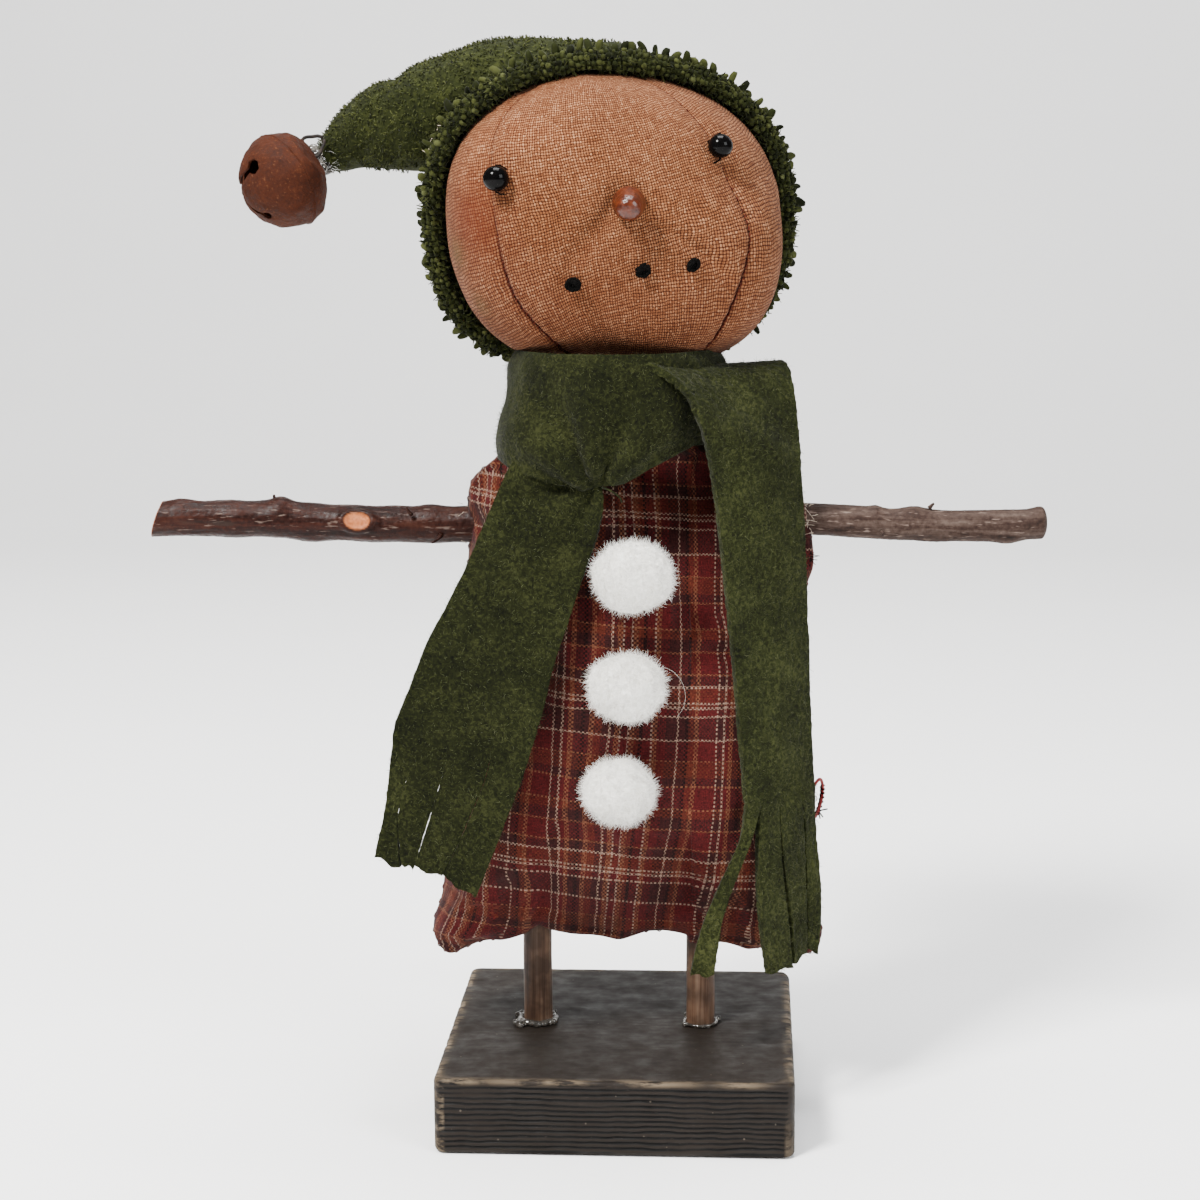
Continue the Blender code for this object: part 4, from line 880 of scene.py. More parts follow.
def add_lights():
    add_softbox("key", (-0.60, -0.72, 1.20), 0.34, 65.0, (1.0, 0.985, 0.96))
    add_softbox("fill", (1.1, -0.9, 0.75), 0.7, 26.0, (0.97, 0.985, 1.0))
    add_softbox("top", (0.0, 0.10, 1.3), 0.6, 26.0, (1.0, 1.0, 1.0))
    world = bpy.data.worlds.new("studio")
    world.use_nodes = True
    background = world.node_tree.nodes["Background"]
    background.inputs["Color"].default_value = (1.0, 1.0, 1.0, 1.0)
    background.inputs["Strength"].default_value = WORLD_STRENGTH
    bpy.context.scene.world = world


def add_floor():
    """A pale sheet that runs level under the figure and curves up behind it."""
    profile = [(-1.6, 0.0), (1.0, 0.0)]
    profile += [(1.0 + 0.6 * math.sin(a), 0.6 - 0.6 * math.cos(a)) for a in (0.25 * k for k in range(1, 7))]
    profile += [(1.6, 1.2), (1.6, 3.0)]
    verts = [Vector((x, y, z - 0.0002)) for y, z in profile for x in (-2.5, 2.5)]
    floor = make_object("floor", verts, grid_faces(len(profile), 2, flip=True), studio_white())


# ---- hang-tag cord -----------------------------------------------------------------------------


def make_tag_cord():
    route = [Vector(point) for point in TAG_ROUTE]
    steps = 6 * (len(route) - 1)
    line = [curve_at(route, i / steps) for i in range(steps + 1)]
    curve = bpy.data.curves.new("tag_cord", "CURVE")
    curve.dimensions = "3D"
    curve.bevel_depth = TAG_CORD_RADIUS
    curve.bevel_resolution = 3
    spline = curve.splines.new("POLY")
    spline.points.add(steps)
    for spot, point in zip(spline.points, line):
        spot.co = (*point, 1)
    curve.materials.append(CORD)
    cord = bpy.data.objects.new("tag_cord", curve)
    bpy.context.scene.collection.objects.link(cord)
    place(cord, slot="red_cord", stands_for=("tag_loop",))
    wound = []
    for i in range(70):
        t = i / 69
        middle = curve_at(route, 0.46 + 0.34 * t)
        angle = t * 46
        wound.append(middle + Vector((math.cos(angle), math.sin(angle), 0.6 * math.sin(angle))) * 0.56 * MM)
    knot = curve_at(route, 0.74)
    ends = [[knot, knot + vector_mm(half) * 0.5, knot + vector_mm(half)]
            for half in ((2.4, -0.6, 0.7), (1.2, -0.8, -1.5), (0.5, -0.5, -2.0), (-0.8, -0.9, -1.2))]
    winding = tubes("tag_cord_thread", [wound] + ends, 0.20 * MM, 5, THREAD_BLACK)
    place(remember(winding), slot="black_thread")
    dice = random.Random(4)
    hairs = []
    for end in (route[0], route[-1]):
        for _ in range(7):
            way = toss(dice, (0.3, 1), (-0.5, 1.2), (-0.9, 0.9))
            bend = toss(dice, (-1, 1), (-1, 1), (-1, 1)) * 0.8 * MM
            reach = way.normalized() * dice.uniform(1.2, 3.0) * MM
            hairs.append([end + reach * t + bend * t * t for t in (0, 0.35, 0.7, 1)])
    frayed = tubes("tag_cord_frayed_ends", hairs, 0.07 * MM, 4, THREAD_RED, 0.5)
    place(remember(frayed), slot="red_cord")


# ---- wooden block, legs and glue ---------------------------------------------------------------


def block_plan(share, half, radius):
    """A point and outward direction on the block's rounded square outline."""
    straight = 2 * (half - radius)
    quarter = math.pi * radius / 2
    side, along = divmod(share * 4 * (straight + quarter), straight + quarter)
    turn = Matrix.Rotation(side * math.pi / 2, 3, "Z")
    if along < straight:
        point = Vector((along - straight / 2, -half, 0))
        outward = Vector((0, -1, 0))
    else:
        angle = (along - straight) / radius
        outward = Vector((math.sin(angle), -math.cos(angle), 0))
        point = Vector((straight / 2, -straight / 2, 0)) + outward * radius
    return turn @ point, turn @ outward


def groove_depth(along, z, seed):
    """How deep the saw marks of the block's face are, 0 to 1."""
    wave = (0.55 * grain((along * 0.35, seed * 0.01, z), 9 * MM)
            + 0.25 * grain((along, seed * 0.01, z), 5 * MM))
    line = ((z / MM + wave) / 1.36) % 1.0
    dip = max(0.0, 1 - abs(line - 0.5) / 0.30)
    strength = 0.75 + 0.7 * grain((along * 0.5, z * 2.5, seed * 0.02), 7 * MM)
    return max(0.0, min(1.0, strength)) * dip ** 0.8


def make_block():
    low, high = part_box("base_board")
    half = high[0]
    top = high[2]
    edge = BLOCK_EDGE
    heights = [low[2] + edge + (top - low[2] - 2 * edge) * i / 66 for i in range(67)]
    profile = [(edge, low[2]), (0.3 * edge, low[2] + 0.35 * edge)] + [(0.0, z) for z in heights]
    profile += [(edge * (1 - math.cos(a)), top - edge + edge * math.sin(a)) for a in (0.5, 1.0, math.pi / 2)]
    around = 560
    verts = []
    masks = []
    for inset, z in profile:
        for j in range(around):
            point, outward = block_plan(j / around, half, BLOCK_CORNER)
            saw = abs(outward.y) > 0.9
            along = point.x
            depth = groove_depth(along, z, 1 + outward.y) if saw and inset == 0 else 0.0
            rough = 0.10 * grain((point.x, point.y, z), 2.2 * MM)
            chip = max(0.0, grain((point.x * 0.7, point.y * 0.7, z), 3.5 * MM) - 0.15) * 0.9 * smoothstep(
                top - 2.2 * MM, top, z)
            shift = inset + (0.50 * depth + max(0.0, rough) + chip) * MM
            verts.append(point - outward * shift + UP * z)
            edge_wear = smoothstep(top - 1.5 * MM, top - 0.3 * MM, z)
            corner = 0.75 if 0.2 < abs(outward.y) < 0.98 else 0.0
            patchy = 0.5 + 0.9 * grain((point.x, point.y, z * 0.3), 9 * MM)
            masks.append((depth, 0.0 if z < top - 0.2 * MM else 1.0,
                          max(edge_wear * patchy, corner * patchy * 0.8)))
    rings = 46
    for ring in range(1, rings):
        share = 1 - ring / rings
        for j in range(around):
            point, outward = block_plan(j / around, half, BLOCK_CORNER)
            spot = point * share * (1 - edge / half)
            inward = (1 - share) * half
            sag = 0.05 * grain((spot.x * 0.3, spot.y, 0), 1.6 * MM) - 0.03
            verts.append(Vector((spot.x, spot.y, top + min(0.0, sag) * MM)))
            rub = 1 - smoothstep(0.3 * MM, 2.2 * MM, inward)
            masks.append((0.0, 1.0, 0.55 * rub * (0.5 + grain((spot.x, spot.y, 0), 7 * MM))))
    verts.append(Vector((0, 0, top)))
    masks.append((0.0, 1.0, 0.0))
    total = len(profile) + rings - 1
    faces = grid_faces(total, around, around=True)
    last = (total - 1) * around
    faces += [(last + j, last + (j + 1) % around, len(verts) - 1) for j in range(around)]
    faces.append(tuple(reversed(range(around))))
    block = make_object("wooden_block", verts, faces, WOOD_BLOCK)
    store(block, "rest", verts)
    store(block, "mask", masks)
    place(block, slot="stained_block", stands_for=("base_board",))


def make_legs():
    for name, seed in (("leg_left", 1), ("leg_right", 2)):
        low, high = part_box(name)
        centre = Vector(((low[0] + high[0]) / 2, 0, 0))
        radius = (high[0] - low[0]) / 2
        verts = []
        sides = 56
        rows = 150
        for i in range(rows):
            z = mix(low[2], high[2], i / (rows - 1))
            for j in range(sides):
                angle = 2 * math.pi * j / sides
                way = Vector((math.cos(angle), math.sin(angle), 0))
                fine = grain((way.x * 4 * MM, way.y * 4 * MM, z * 0.08), 0.9 * MM, seed)
                dent = grain(centre + way * radius + UP * z, 6 * MM, seed)
                verts.append(centre + way * (radius - (0.10 + 0.08 * fine + 0.10 * dent) * MM) + UP * z)
        faces = grid_faces(rows, sides, around=True)
        faces.append(tuple(reversed(range(sides))))
        faces.append(tuple((rows - 1) * sides + j for j in range(sides)))
        leg = make_object(name + "_dowel", verts, faces, WOOD_DOWEL)
        remember(leg)
        place(leg, slot="stained_dowel", stands_for=(name,))
    neck = bpy.data.objects["neck_dowel"]
    neck.data.materials.clear()
    neck.data.materials.append(WOOD_DOWEL)


def add_balls(work, balls):
    """Adds balls, each a centre and a radius, to a bmesh."""
    for centre, radius in balls:
        pose = Matrix.Translation(centre) @ Matrix.Diagonal((radius, radius, radius, 1))
        bmesh.ops.create_icosphere(work, subdivisions=3, radius=1.0, matrix=pose)


def melt(name, work, voxel, smooth, material):
    """One smooth closed lump of the bmesh's overlapping shapes."""
    made = finish_bmesh(name, work, material)
    remesh = made.modifiers.new("melt", "REMESH")
    remesh.mode = "VOXEL"
    remesh.voxel_size = voxel
    even = made.modifiers.new("even", "SMOOTH")
    even.iterations = smooth
    apply_modifiers(made)
    made.data.materials.clear()
    made.data.materials.append(material)
    made.data.shade_smooth()
    return made


def glue_blob(name, balls, voxel):
    work = bmesh.new()
    add_balls(work, balls)
    return remember(melt(name, work, voxel, 6, GLUE))


def make_glue():
    for name, leg, seed, lumpy in (("leg_glue_left", "leg_left", 3, 1.0),
                                   ("leg_glue_right", "leg_right", 8, 0.3)):
        low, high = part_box(name)
        middle = Vector(((low[0] + high[0]) / 2, 0, low[2]))
        reach = (high[0] - low[0]) / 2
        leg_low, leg_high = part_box(leg)
        inner = (leg_high[0] - leg_low[0]) / 2
        dice = random.Random(seed)
        balls = []
        for i in range(44):
            angle = 2 * math.pi * i / 44
            size = (0.36 + (0.28 + 0.38 * dice.random()) * lumpy) * MM
            ring = mix(inner + 0.25 * MM, reach - size * 0.75, dice.random() * 0.50 * lumpy + 0.1)
            way = Vector((math.cos(angle), math.sin(angle), 0))
            balls.append((middle + way * ring + UP * size * 0.55, size))
        for _ in range(int(10 * lumpy)):
            angle = dice.uniform(0, 2 * math.pi)
            size = dice.uniform(0.6, 1.1) * MM
            spot = Vector((math.cos(angle), math.sin(angle), 0)) * (reach + dice.uniform(-0.4, 1.2) * MM)
            balls.append((middle + spot + UP * size * 0.4, size))
        glue = glue_blob(name.replace("leg_", "") + "_bead", balls, 0.28 * MM)
        place(glue, slot="hot_glue", stands_for=(name,))
    middle = box_middle("bell_glue")
    dice = random.Random(12)
    balls = []
    for _ in range(26):
        way = toss(dice, (-0.9, 0.9), (-0.9, 0.9), (-0.9, 0.9))
        spot = middle + Vector((way.x * 2.2, way.y * 2.6, way.z * 3.2)) * MM
        balls.append((spot, dice.uniform(0.7, 1.5) * MM))
    glue = glue_blob("bell_glue_lump", balls, 0.30 * MM)
    place(glue, "hat_tail", "hot_glue", ("bell_glue",))


# ---- pillow body -------------------------------------------------------------------------------


def body_outline(points, count):
    return even_curve([Vector((x, 0, z)) * MM for x, z in points], count)


def body_weave(point):
    """A point's place in the plaid, in millimetres: it leans with the pillow and wraps its sides."""
    x, z = point.x / MM, point.z / MM
    lean = -0.00075 if z < 144 else -0.0023
    height = min(0.98, max(0.02, (z - 41) / 131))
    full = BODY_HALF_DEPTH / MM * (4 * height * (1 - height)) ** PILLOW_POWER
    turned = 0.8 * max(0.0, full - abs(point.y) / MM) * max(-1.0, min(1.0, (x - 1) / 25))
    return (x - lean * (144 - z) ** 2 + turned, z + 0.085 * x - 0.001 * x * x, 0.0)


def body_surface(columns, rows):
    """The flat pillow outline as a grid of places with their share of the full depth."""
    hem = body_outline(BODY_HEM, columns)
    top = body_outline(BODY_TOP, columns)
    left = body_outline(BODY_LEFT, rows)
    right = body_outline(BODY_RIGHT, rows)
    grid = []
    for i in range(rows):
        v = i / (rows - 1)
        for j in range(columns):
            u = j / (columns - 1)
            flat = hem[j] * (1 - v) + top[j] * v + left[i] * (1 - u) + right[i] * u
            flat -= (hem[0] * (1 - u) * (1 - v) + hem[-1] * u * (1 - v)
                     + top[0] * (1 - u) * v + top[-1] * u * v)
            share = (4 * u * (1 - u)) * (4 * v * (1 - v))
            grid.append((flat, max(0.0, share) ** PILLOW_POWER))
    return grid


def body_lumps(flat, share, side):
    """Hand-made unevenness of the stuffed body, in metres outward."""
    x, z = flat.x / MM, flat.z / MM
    puckers = 0.0
    for spot in range(12):
        start = -44 + spot * 8.4
        near = bell_curve(x - start - (z - 42) * 0.05 * (spot % 3 - 1), 1.5)
        puckers -= near * bell_curve(z - 42, 9)
    low = 1 - smoothstep(50, 74, z)
    fold = -1.6 * bell_curve((x + 21) - (z - 44) * 0.06, 2.0) * low
    fold -= 1.4 * bell_curve((x - 19) + (z - 44) * 0.08, 2.0) * low
    arm = (-1.5 * bell_curve(x + 37, 5) * bell_curve(z - 151, 4)
           - 1.5 * bell_curve(x - 45, 5) * bell_curve(z - 151, 4))
    sheet = (flat.x, side * 0.03, flat.z)
    broad = 0.9 * grain(sheet, 30 * MM) + 0.35 * grain(sheet, 11 * MM)
    dents = 0.0
    for middle in POMPOM_HEIGHTS:
        dents -= 0.9 * bell_curve(math.hypot(x - 3, z - middle), 9)
    return (0.7 * puckers + fold + arm + broad + dents) * MM * min(1.0, share * 1.2)


def make_body():
    columns, rows = 96, 128
    grid = body_surface(columns, rows)
    verts = []
    for side in (-1, 1):
        for flat, share in grid:
            depth = BODY_HALF_DEPTH * share
            lump = body_lumps(flat, share, side)
            verts.append(flat + Vector((0, side * (depth + lump + 0.15 * MM), 0)))
    faces = grid_faces(rows, columns) + grid_faces(rows, columns, rows * columns, flip=True)
    pillow = make_object("body_cloth", verts, faces, PLAID)
    weld = pillow.modifiers.new("weld", "WELD")
    weld.merge_threshold = 0.35 * MM
    apply_modifiers(pillow)
    gather(pillow)
    weave = remember(pillow, body_weave)
    halves = []
    for name, side in (("body_front_cloth", -1), ("body_back_cloth", 1)):
        half = weave.copy()
        half.data = weave.data.copy()
        half.name = name
        bpy.context.scene.collection.objects.link(half)
        work = bmesh.new()
        work.from_mesh(half.data)
        away = [f for f in work.faces if f.normal.y * side < 0 and f.calc_center_median().y * side < 0.4 * MM
                or f.calc_center_median().y * side < -0.4 * MM]
        bmesh.ops.delete(work, geom=away, context="FACES")
        work.to_mesh(half.data)
        work.free()
        finer = half.modifiers.new("finer", "SUBSURF")
        finer.levels = 1
        finer.render_levels = 1
        apply_modifiers(half)
        thicken(half, CLOTH)
        half.data.shade_smooth()
        halves.append(half)
    bpy.data.objects.remove(pillow)
    place(halves[0], slot="plaid_cotton", stands_for=("body_front_panel", "body_stuffing"))
    place(halves[1], slot="plaid_cotton", stands_for=("body_back_panel",))


def gather(pillow):
    """Lets the stuffed cloth pull itself into small folds along its seams."""
    start = [v.co.copy() for v in pillow.data.vertices]
    pinned = pillow.vertex_groups.new(name="seam")
    for vertex in pillow.data.vertices:
        if abs(vertex.co.y) < SEAM_HALF_THICKNESS:
            pinned.add([vertex.index], 1.0, "REPLACE")
    cloth = pillow.modifiers.new("cloth", "CLOTH")
    facts = cloth.settings
    facts.quality = 6
    facts.mass = 0.05
    facts.tension_stiffness = 30
    facts.compression_stiffness = 30
    facts.shear_stiffness = 12
    facts.bending_stiffness = 0.02
    facts.vertex_group_mass = "seam"
    facts.use_pressure = True
    facts.uniform_pressure_force = 4.0
    facts.shrink_min = -0.05
    facts.effector_weights.gravity = 0
    cloth.collision_settings.use_collision = False
    scene = bpy.context.scene
    for step in range(1, 19):
        scene.frame_set(step)
    graph = bpy.context.evaluated_depsgraph_get()
    moved = [v.co.copy() for v in pillow.evaluated_get(graph).to_mesh().vertices]
    pillow.modifiers.clear()
    scene.frame_set(1)
    for vertex, before, after in zip(pillow.data.vertices, start, moved):
        shift = after - before
        if shift.length > GATHER_REACH:
            shift *= GATHER_REACH / shift.length
        vertex.co = before + shift


def make_seam_threads():
    """Running stitches along the pillow's edge, and the loose ends at shoulder and armhole."""
    outline = body_outline(BODY_LEFT, 90) + body_outline(BODY_TOP, 60)[1:]
    outline += body_outline(BODY_RIGHT, 90)[::-1][1:] + body_outline(BODY_HEM, 90)[::-1][1:]
    middle = Vector((1, 0, 100)) * MM
    dashes = []
    for i in range(0, len(outline) - 2, 3):
        a = outline[i]
        b = outline[i + 1]
        inward = (middle - a).normalized() * 0.1 * MM
        dashes.append([a + inward, (a + b) / 2 - inward * 2.5, b + inward])
    stitches = tubes("body_seam_stitches", dashes, 0.16 * MM, 5, THREAD_RED)
    place(remember(stitches), slot="black_thread")
    dice = random.Random(9)
    black = []
    start = Vector((-27.0, -9.0, 168.5)) * MM
    black.append([start, start + Vector((-1.0, -2.5, -0.4)) * MM, start + Vector((-2.2, -3.6, -2.2)) * MM,
                  start + Vector((-1.4, -4.2, -3.2)) * MM])
    black.append([start + Vector((0.6, 0, 0.2)) * MM, start + Vector((1.6, -2.4, 0.9)) * MM,
                  start + Vector((2.8, -4.4, 0.3)) * MM])
    spot = Vector((48.2, -5.5, 144.5)) * MM
    for _ in range(5):
        way = toss(dice, (0.2, 1.0), (-0.8, 0.2), (-1.0, 0.3)).normalized()
        begin = spot + Vector((0, dice.uniform(-1, 1), dice.uniform(-1.6, 1.6))) * MM
        black.append([begin, begin + way * 1.0 * MM,
                      begin + way * dice.uniform(1.8, 2.8) * MM + UP * 0.3 * MM])
    curl = Vector((50.0, 0.6, 79.6)) * MM
    black.append([curl + Vector((0.55 * math.sin(a), 0, 0.75 * math.cos(a))) * MM
                  for a in (0, 0.8, 1.6, 2.4, 3.2, 4.0)])
    threads = tubes("loose_black_threads", black, 0.14 * MM, 5, THREAD_BLACK, 0.6)
    place(remember(threads), slot="black_thread")
    pale = []
    for _ in range(16):
        begin = toss(dice, (45.5, 48.5), (-7, -1), (145.5, 157.5)) * MM
        way = toss(dice, (0.1, 1.0), (-1, 0.1), (-0.8, 0.8)).normalized()
        side = toss(dice, (-1, 1), (-1, 1), (-1, 1)) * 0.6 * MM
        reach = dice.uniform(1.2, 3.2) * MM
        pale.append([begin + way * reach * t + side * t * t for t in (0, 0.33, 0.66, 1)])
    for _ in range(8):
        begin = toss(dice, (-40, -37.5), (-6, 0), (146, 157)) * MM
        way = toss(dice, (-1.0, -0.1), (-1, 0.1), (-0.8, 0.8)).normalized()
        pale.append([begin + way * dice.uniform(0.8, 2.0) * MM * t for t in (0, 0.5, 1)])
    frays = tubes("armhole_frayed_threads", pale, 0.09 * MM, 4, THREAD_CREAM, 0.5)
    place(remember(frays), slot="plaid_cotton")


# ---- pompoms -----------------------------------------------------------------------------------


def make_pompoms():
    for name, seed in (("pompom_top", 1), ("pompom_middle", 2), ("pompom_bottom", 3)):
        low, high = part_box(name)
        centre = box_middle(name)
        half = (Vector(high) - Vector(low)) / 2 - Vector((1.1, 0.7, 1.1)) * MM
        work = bmesh.new()
        bmesh.ops.create_icosphere(work, subdivisions=6, radius=1.0)
        for vertex in work.verts:
            way = vertex.co.normalized()
            lump = (1 + 0.07 * grain(way, 0.55, seed) + 0.045 * grain(way, 0.22, seed)
                    + 0.03 * grain(way, 0.09, seed))
            vertex.co = centre + Vector((way.x * half.x, way.y * half.y, way.z * half.z)) * lump
        ball = finish_bmesh(name + "_ball", work, WOOL)
        remember(ball)
        place(ball, slot="white_wool", stands_for=(name,))
        roots, normals = scatter(ball, 5200, seed)
        dice = np.random.default_rng(seed + 40)
        ways = unit_rows(normals + dice.normal(size=normals.shape) * 1.25)
        hair = strands(name + "_fibres", roots - normals * 0.2 * MM, ways, 1.7 * MM, 0.045 * MM, WOOL_HAIR,
                       seed, 0.9)
        place(hair, slot="white_wool")
    low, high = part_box("pompom_middle")
    begin = Vector((high[0] - 1.5 * MM, low[1] + 3 * MM, high[2] - 3 * MM))
    arc = [begin + Vector((5.5 * math.sin(a), -1.2, 5.0 * (math.cos(a) - 1) - 1.5 * a)) * MM
           for a in (0, 0.5, 1, 1.5, 2, 2.5)]
    arc = even_curve(arc, 20)
    place(remember(tubes("pompom_long_hair", [arc], 0.022 * MM, 4, WOOL, 0.6)), slot="white_wool")


# ---- twig arms ---------------------------------------------------------------------------------


def make_arm(name, material, tip_slant, bumps, scars, cut_end, shoots, seed):
    """A twig from inside the body to its tip; bumps and scars are (share, angle, size in mm, width)."""
    low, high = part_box(name)
    left = name == "arm_left"
    inner = high[0] if left else low[0]
    tip = low[0] if left else high[0]
    way = -1 if left else 1
    radius = (5.2 if left else 4.5) * MM
    height = 151.5 * MM
    length = abs(tip - inner)
    sides = 72
    rows = 420
    verts = []
    masks = []
    for i in range(rows):
        share = i / (rows - 1)
        x = inner + way * length * share
        bow = 0.8 * MM * math.sin(share * 5.5 + seed)
        sway = 0.6 * MM * math.sin(share * 4.0 + seed * 2)
        close = max(0.0, 1 - ((1 - share) * length / (1.6 * MM)) ** 1) if not cut_end else 0.0
        slim = mix(1.0, 0.97, share) * math.sqrt(max(0.0, 1 - close * close))
        for j in range(sides):
            angle = 2 * math.pi * j / sides
            out = Vector((0, math.cos(angle), math.sin(angle)))
            swell = 0.0
            scar = 0.0
            for spot, turn, size, width in bumps:
                gap = math.atan2(math.sin(angle - turn), math.cos(angle - turn))
                swell += size * bell_curve(share - spot, width) * bell_curve(gap, 0.9)
            for spot, turn, size, width in scars:
                gap = math.atan2(math.sin(angle - turn), math.cos(angle - turn)) * radius / MM
                along = (share - spot) * length / MM
                reach = math.hypot(along / width, gap / size)
                rim = bell_curve(reach - 1.15, 0.28)
                scar = max(scar, 1 - smoothstep(0.80, 1.0, reach))
                swell += 0.55 * rim - 0.35 * (1 - smoothstep(0.5, 1.0, reach))
            ridges = grain((x * 0.16, out.y * 5 * MM, out.z * 5 * MM), 1.3 * MM, seed)
            fine = grain((x * 0.6, out.y * 5 * MM, out.z * 5 * MM), 0.7 * MM, seed)
            broad = grain((x, out.y * 5 * MM, out.z * 5 * MM), 7 * MM, seed)
            offset = swell + 0.16 * ridges * (1 - scar) + 0.07 * fine + 0.30 * broad - 0.45
            point = Vector((x, sway, height + bow)) + out * (radius * slim + offset * MM * min(1.0, slim * 2))
            if cut_end:
                slope = tip_slant * out.z * radius
                late = smoothstep(0.5, 1.0, share)
                point.x += way * slope * late - way * abs(tip_slant) * radius * late
            dark = 0.8 * smoothstep(0.45, 0.8, -ridges) * (1 - scar)
            end = 1.0 if cut_end and i == rows - 1 else 0.0
            masks.append((end, scar, dark))
            verts.append(point)
    faces = grid_faces(rows, sides, around=True)
    start = (rows - 1) * sides
    centre = sum(verts[start:], Vector()) / sides
    for ring in range(1, 7):
        for j in range(sides):
            edge = verts[start + j]
            spot = centre.lerp(edge, (1 - ring / 7.0))
            spot.x += way * 0.25 * MM * (1 - (1 - ring / 7) ** 2) + 0.10 * MM * grain(spot, 1.0 * MM, seed)
            verts.append(spot)
            masks.append((1.0 if cut_end else 0.0, 0.0, 0.5 if ring == 6 and cut_end else 0.0))
    first = rows - 1
    for ring in range(6):
        base = (first + ring) * sides
        for j in range(sides):
            k = (j + 1) % sides
            faces.append((base + j, base + k, base + sides + k, base + sides + j))
    faces.append(tuple((first + 6) * sides + j for j in range(sides)))
    faces.append(tuple(reversed(range(sides))))
    if left:
        faces = [face[::-1] for face in faces]
    arm = make_object(name + "_twig", verts, faces, material)
    face_out(arm)
    store(arm, "rest", verts)
    store(arm, "mask", masks)
    place(arm, slot="reddish_bark" if left else "grey_bark", stands_for=(name,))
    lines = []
    for x, y, z, dx, dy, dz, reach in shoots:
        begin = Vector((x, y, z)) * MM
        way_out = Vector((dx, dy, dz)).normalized()
        side = way_out.orthogonal() * 0.25
        lines.append([begin + (way_out * t + side * t * t) * reach * MM for t in (0, 0.25, 0.5, 0.75, 1)])
    made = tubes(name + "_shoots", lines, 0.62 * MM, 10, material, 0.45)
    remember(made, mask=lambda point: (0, 0, 0.25))
    place(made, slot="reddish_bark" if left else "grey_bark")


def make_arms():
    up = math.pi / 2
    front = math.pi
    make_arm(
        "arm_left", BARK_RED, -0.30,
        bumps=[(0.68, up, 1.3, 0.03), (0.46, front, 0.7, 0.06), (0.60, -up, 0.7, 0.04),
               (0.955, up, 0.5, 0.03), (0.80, front + 0.5, 0.5, 0.03), (0.30, up, 0.6, 0.03)],
        scars=[(0.475, front - 0.25, 2.4, 3.6)],
        cut_end=True,
        shoots=[(-45.0, -4.2, 148.6, -0.5, -0.6, -0.8, 3.4), (-52.5, -4.4, 153.8, -0.7, -0.6, 0.7, 2.4),
                (-88.0, 1.0, 156.2, -0.5, -0.3, 0.9, 2.0)],
        seed=3,
    )
    make_arm(
        "arm_right", BARK_GREY, 0.0,
        bumps=[(0.60, up, 0.8, 0.04), (0.88, -up, 0.6, 0.04), (0.36, front, 0.5, 0.05),
               (0.74, front, 0.4, 0.02), (0.48, up, 0.5, 0.02), (0.97, up, 0.4, 0.02)],
        scars=[],
        cut_end=False,
        shoots=[(78.0, -1.2, 155.3, 0.5, -0.4, 0.8, 1.6), (66.0, -3.9, 149.6, 0.4, -0.8, -0.4, 1.3)],
        seed=7,
    )


# ---- linen head --------------------------------------------------------------------------------


def head_reaches(start, directions, extra=0.0):
    """How far the head's surface, grown by extra, is from a point inside it along each direction."""
    turn = np.array(HEAD_TURN)
    begin = (np.array(start) - np.array(HEAD_CENTRE)) @ turn
    ways = np.asarray(directions) @ turn
    low = np.zeros(len(ways))
    high = np.full(len(ways), 90 * MM)
    for _ in range(26):
        middle = (low + high) / 2
        x, y, z = (begin + ways * middle[:, None]).T
        right = np.clip(x / (16 * MM) + 0.5, 0, 1)
        upper = np.clip(z / (16 * MM) + 0.5, 0, 1)
        right, upper = (t * t * (3 - 2 * t) for t in (right, upper))
        right_power = HEAD_POWER_LOW_RIGHT + (HEAD_POWER_HIGH_RIGHT - HEAD_POWER_LOW_RIGHT) * upper
        power = HEAD_POWER_LEFT + (right_power - HEAD_POWER_LEFT) * right
        depth = np.where(y < 0, HEAD_FRONT, HEAD_BACK) + extra
        height = np.where(z > 0, HEAD_TOP, HEAD_BOTTOM) + extra
        total = np.abs(x / (HEAD_HALF_WIDTH + extra)) ** power
        total += np.abs(y / depth) ** power + np.abs(z / height) ** power
        low = np.where(total < 1, middle, low)
        high = np.where(total < 1, high, middle)
    return low


def head_reach(start, direction, extra):
    return float(head_reaches(start, [direction], extra)[0])


def face_direction(azimuth, latitude):
    a, b = math.radians(azimuth), math.radians(latitude)
    return FACE_TURN @ Vector((math.sin(a) * math.cos(b), -math.cos(a) * math.cos(b), math.sin(b)))


def head_point(azimuth, latitude, extra=0.0):
    direction = face_direction(azimuth, latitude)
    return HEAD_CENTRE + direction * head_reach(HEAD_CENTRE, direction, extra)


def head_normal(azimuth, latitude):
    right = head_point(azimuth + 1, latitude) - head_point(azimuth - 1, latitude)
    up = head_point(azimuth, latitude + 1) - head_point(azimuth, latitude - 1)
    return right.cross(up).normalized()


def left_seam(latitude):
    """Azimuth of the seam between the face and the left panel."""
    return -48.3 + 5.0 * (1 - smoothstep(-52, -20, latitude)) - 4.0 * smoothstep(15, 40, latitude)


def right_seam(latitude):
    return 49.8 - 7.0 * (1 - smoothstep(-46, -12, latitude))


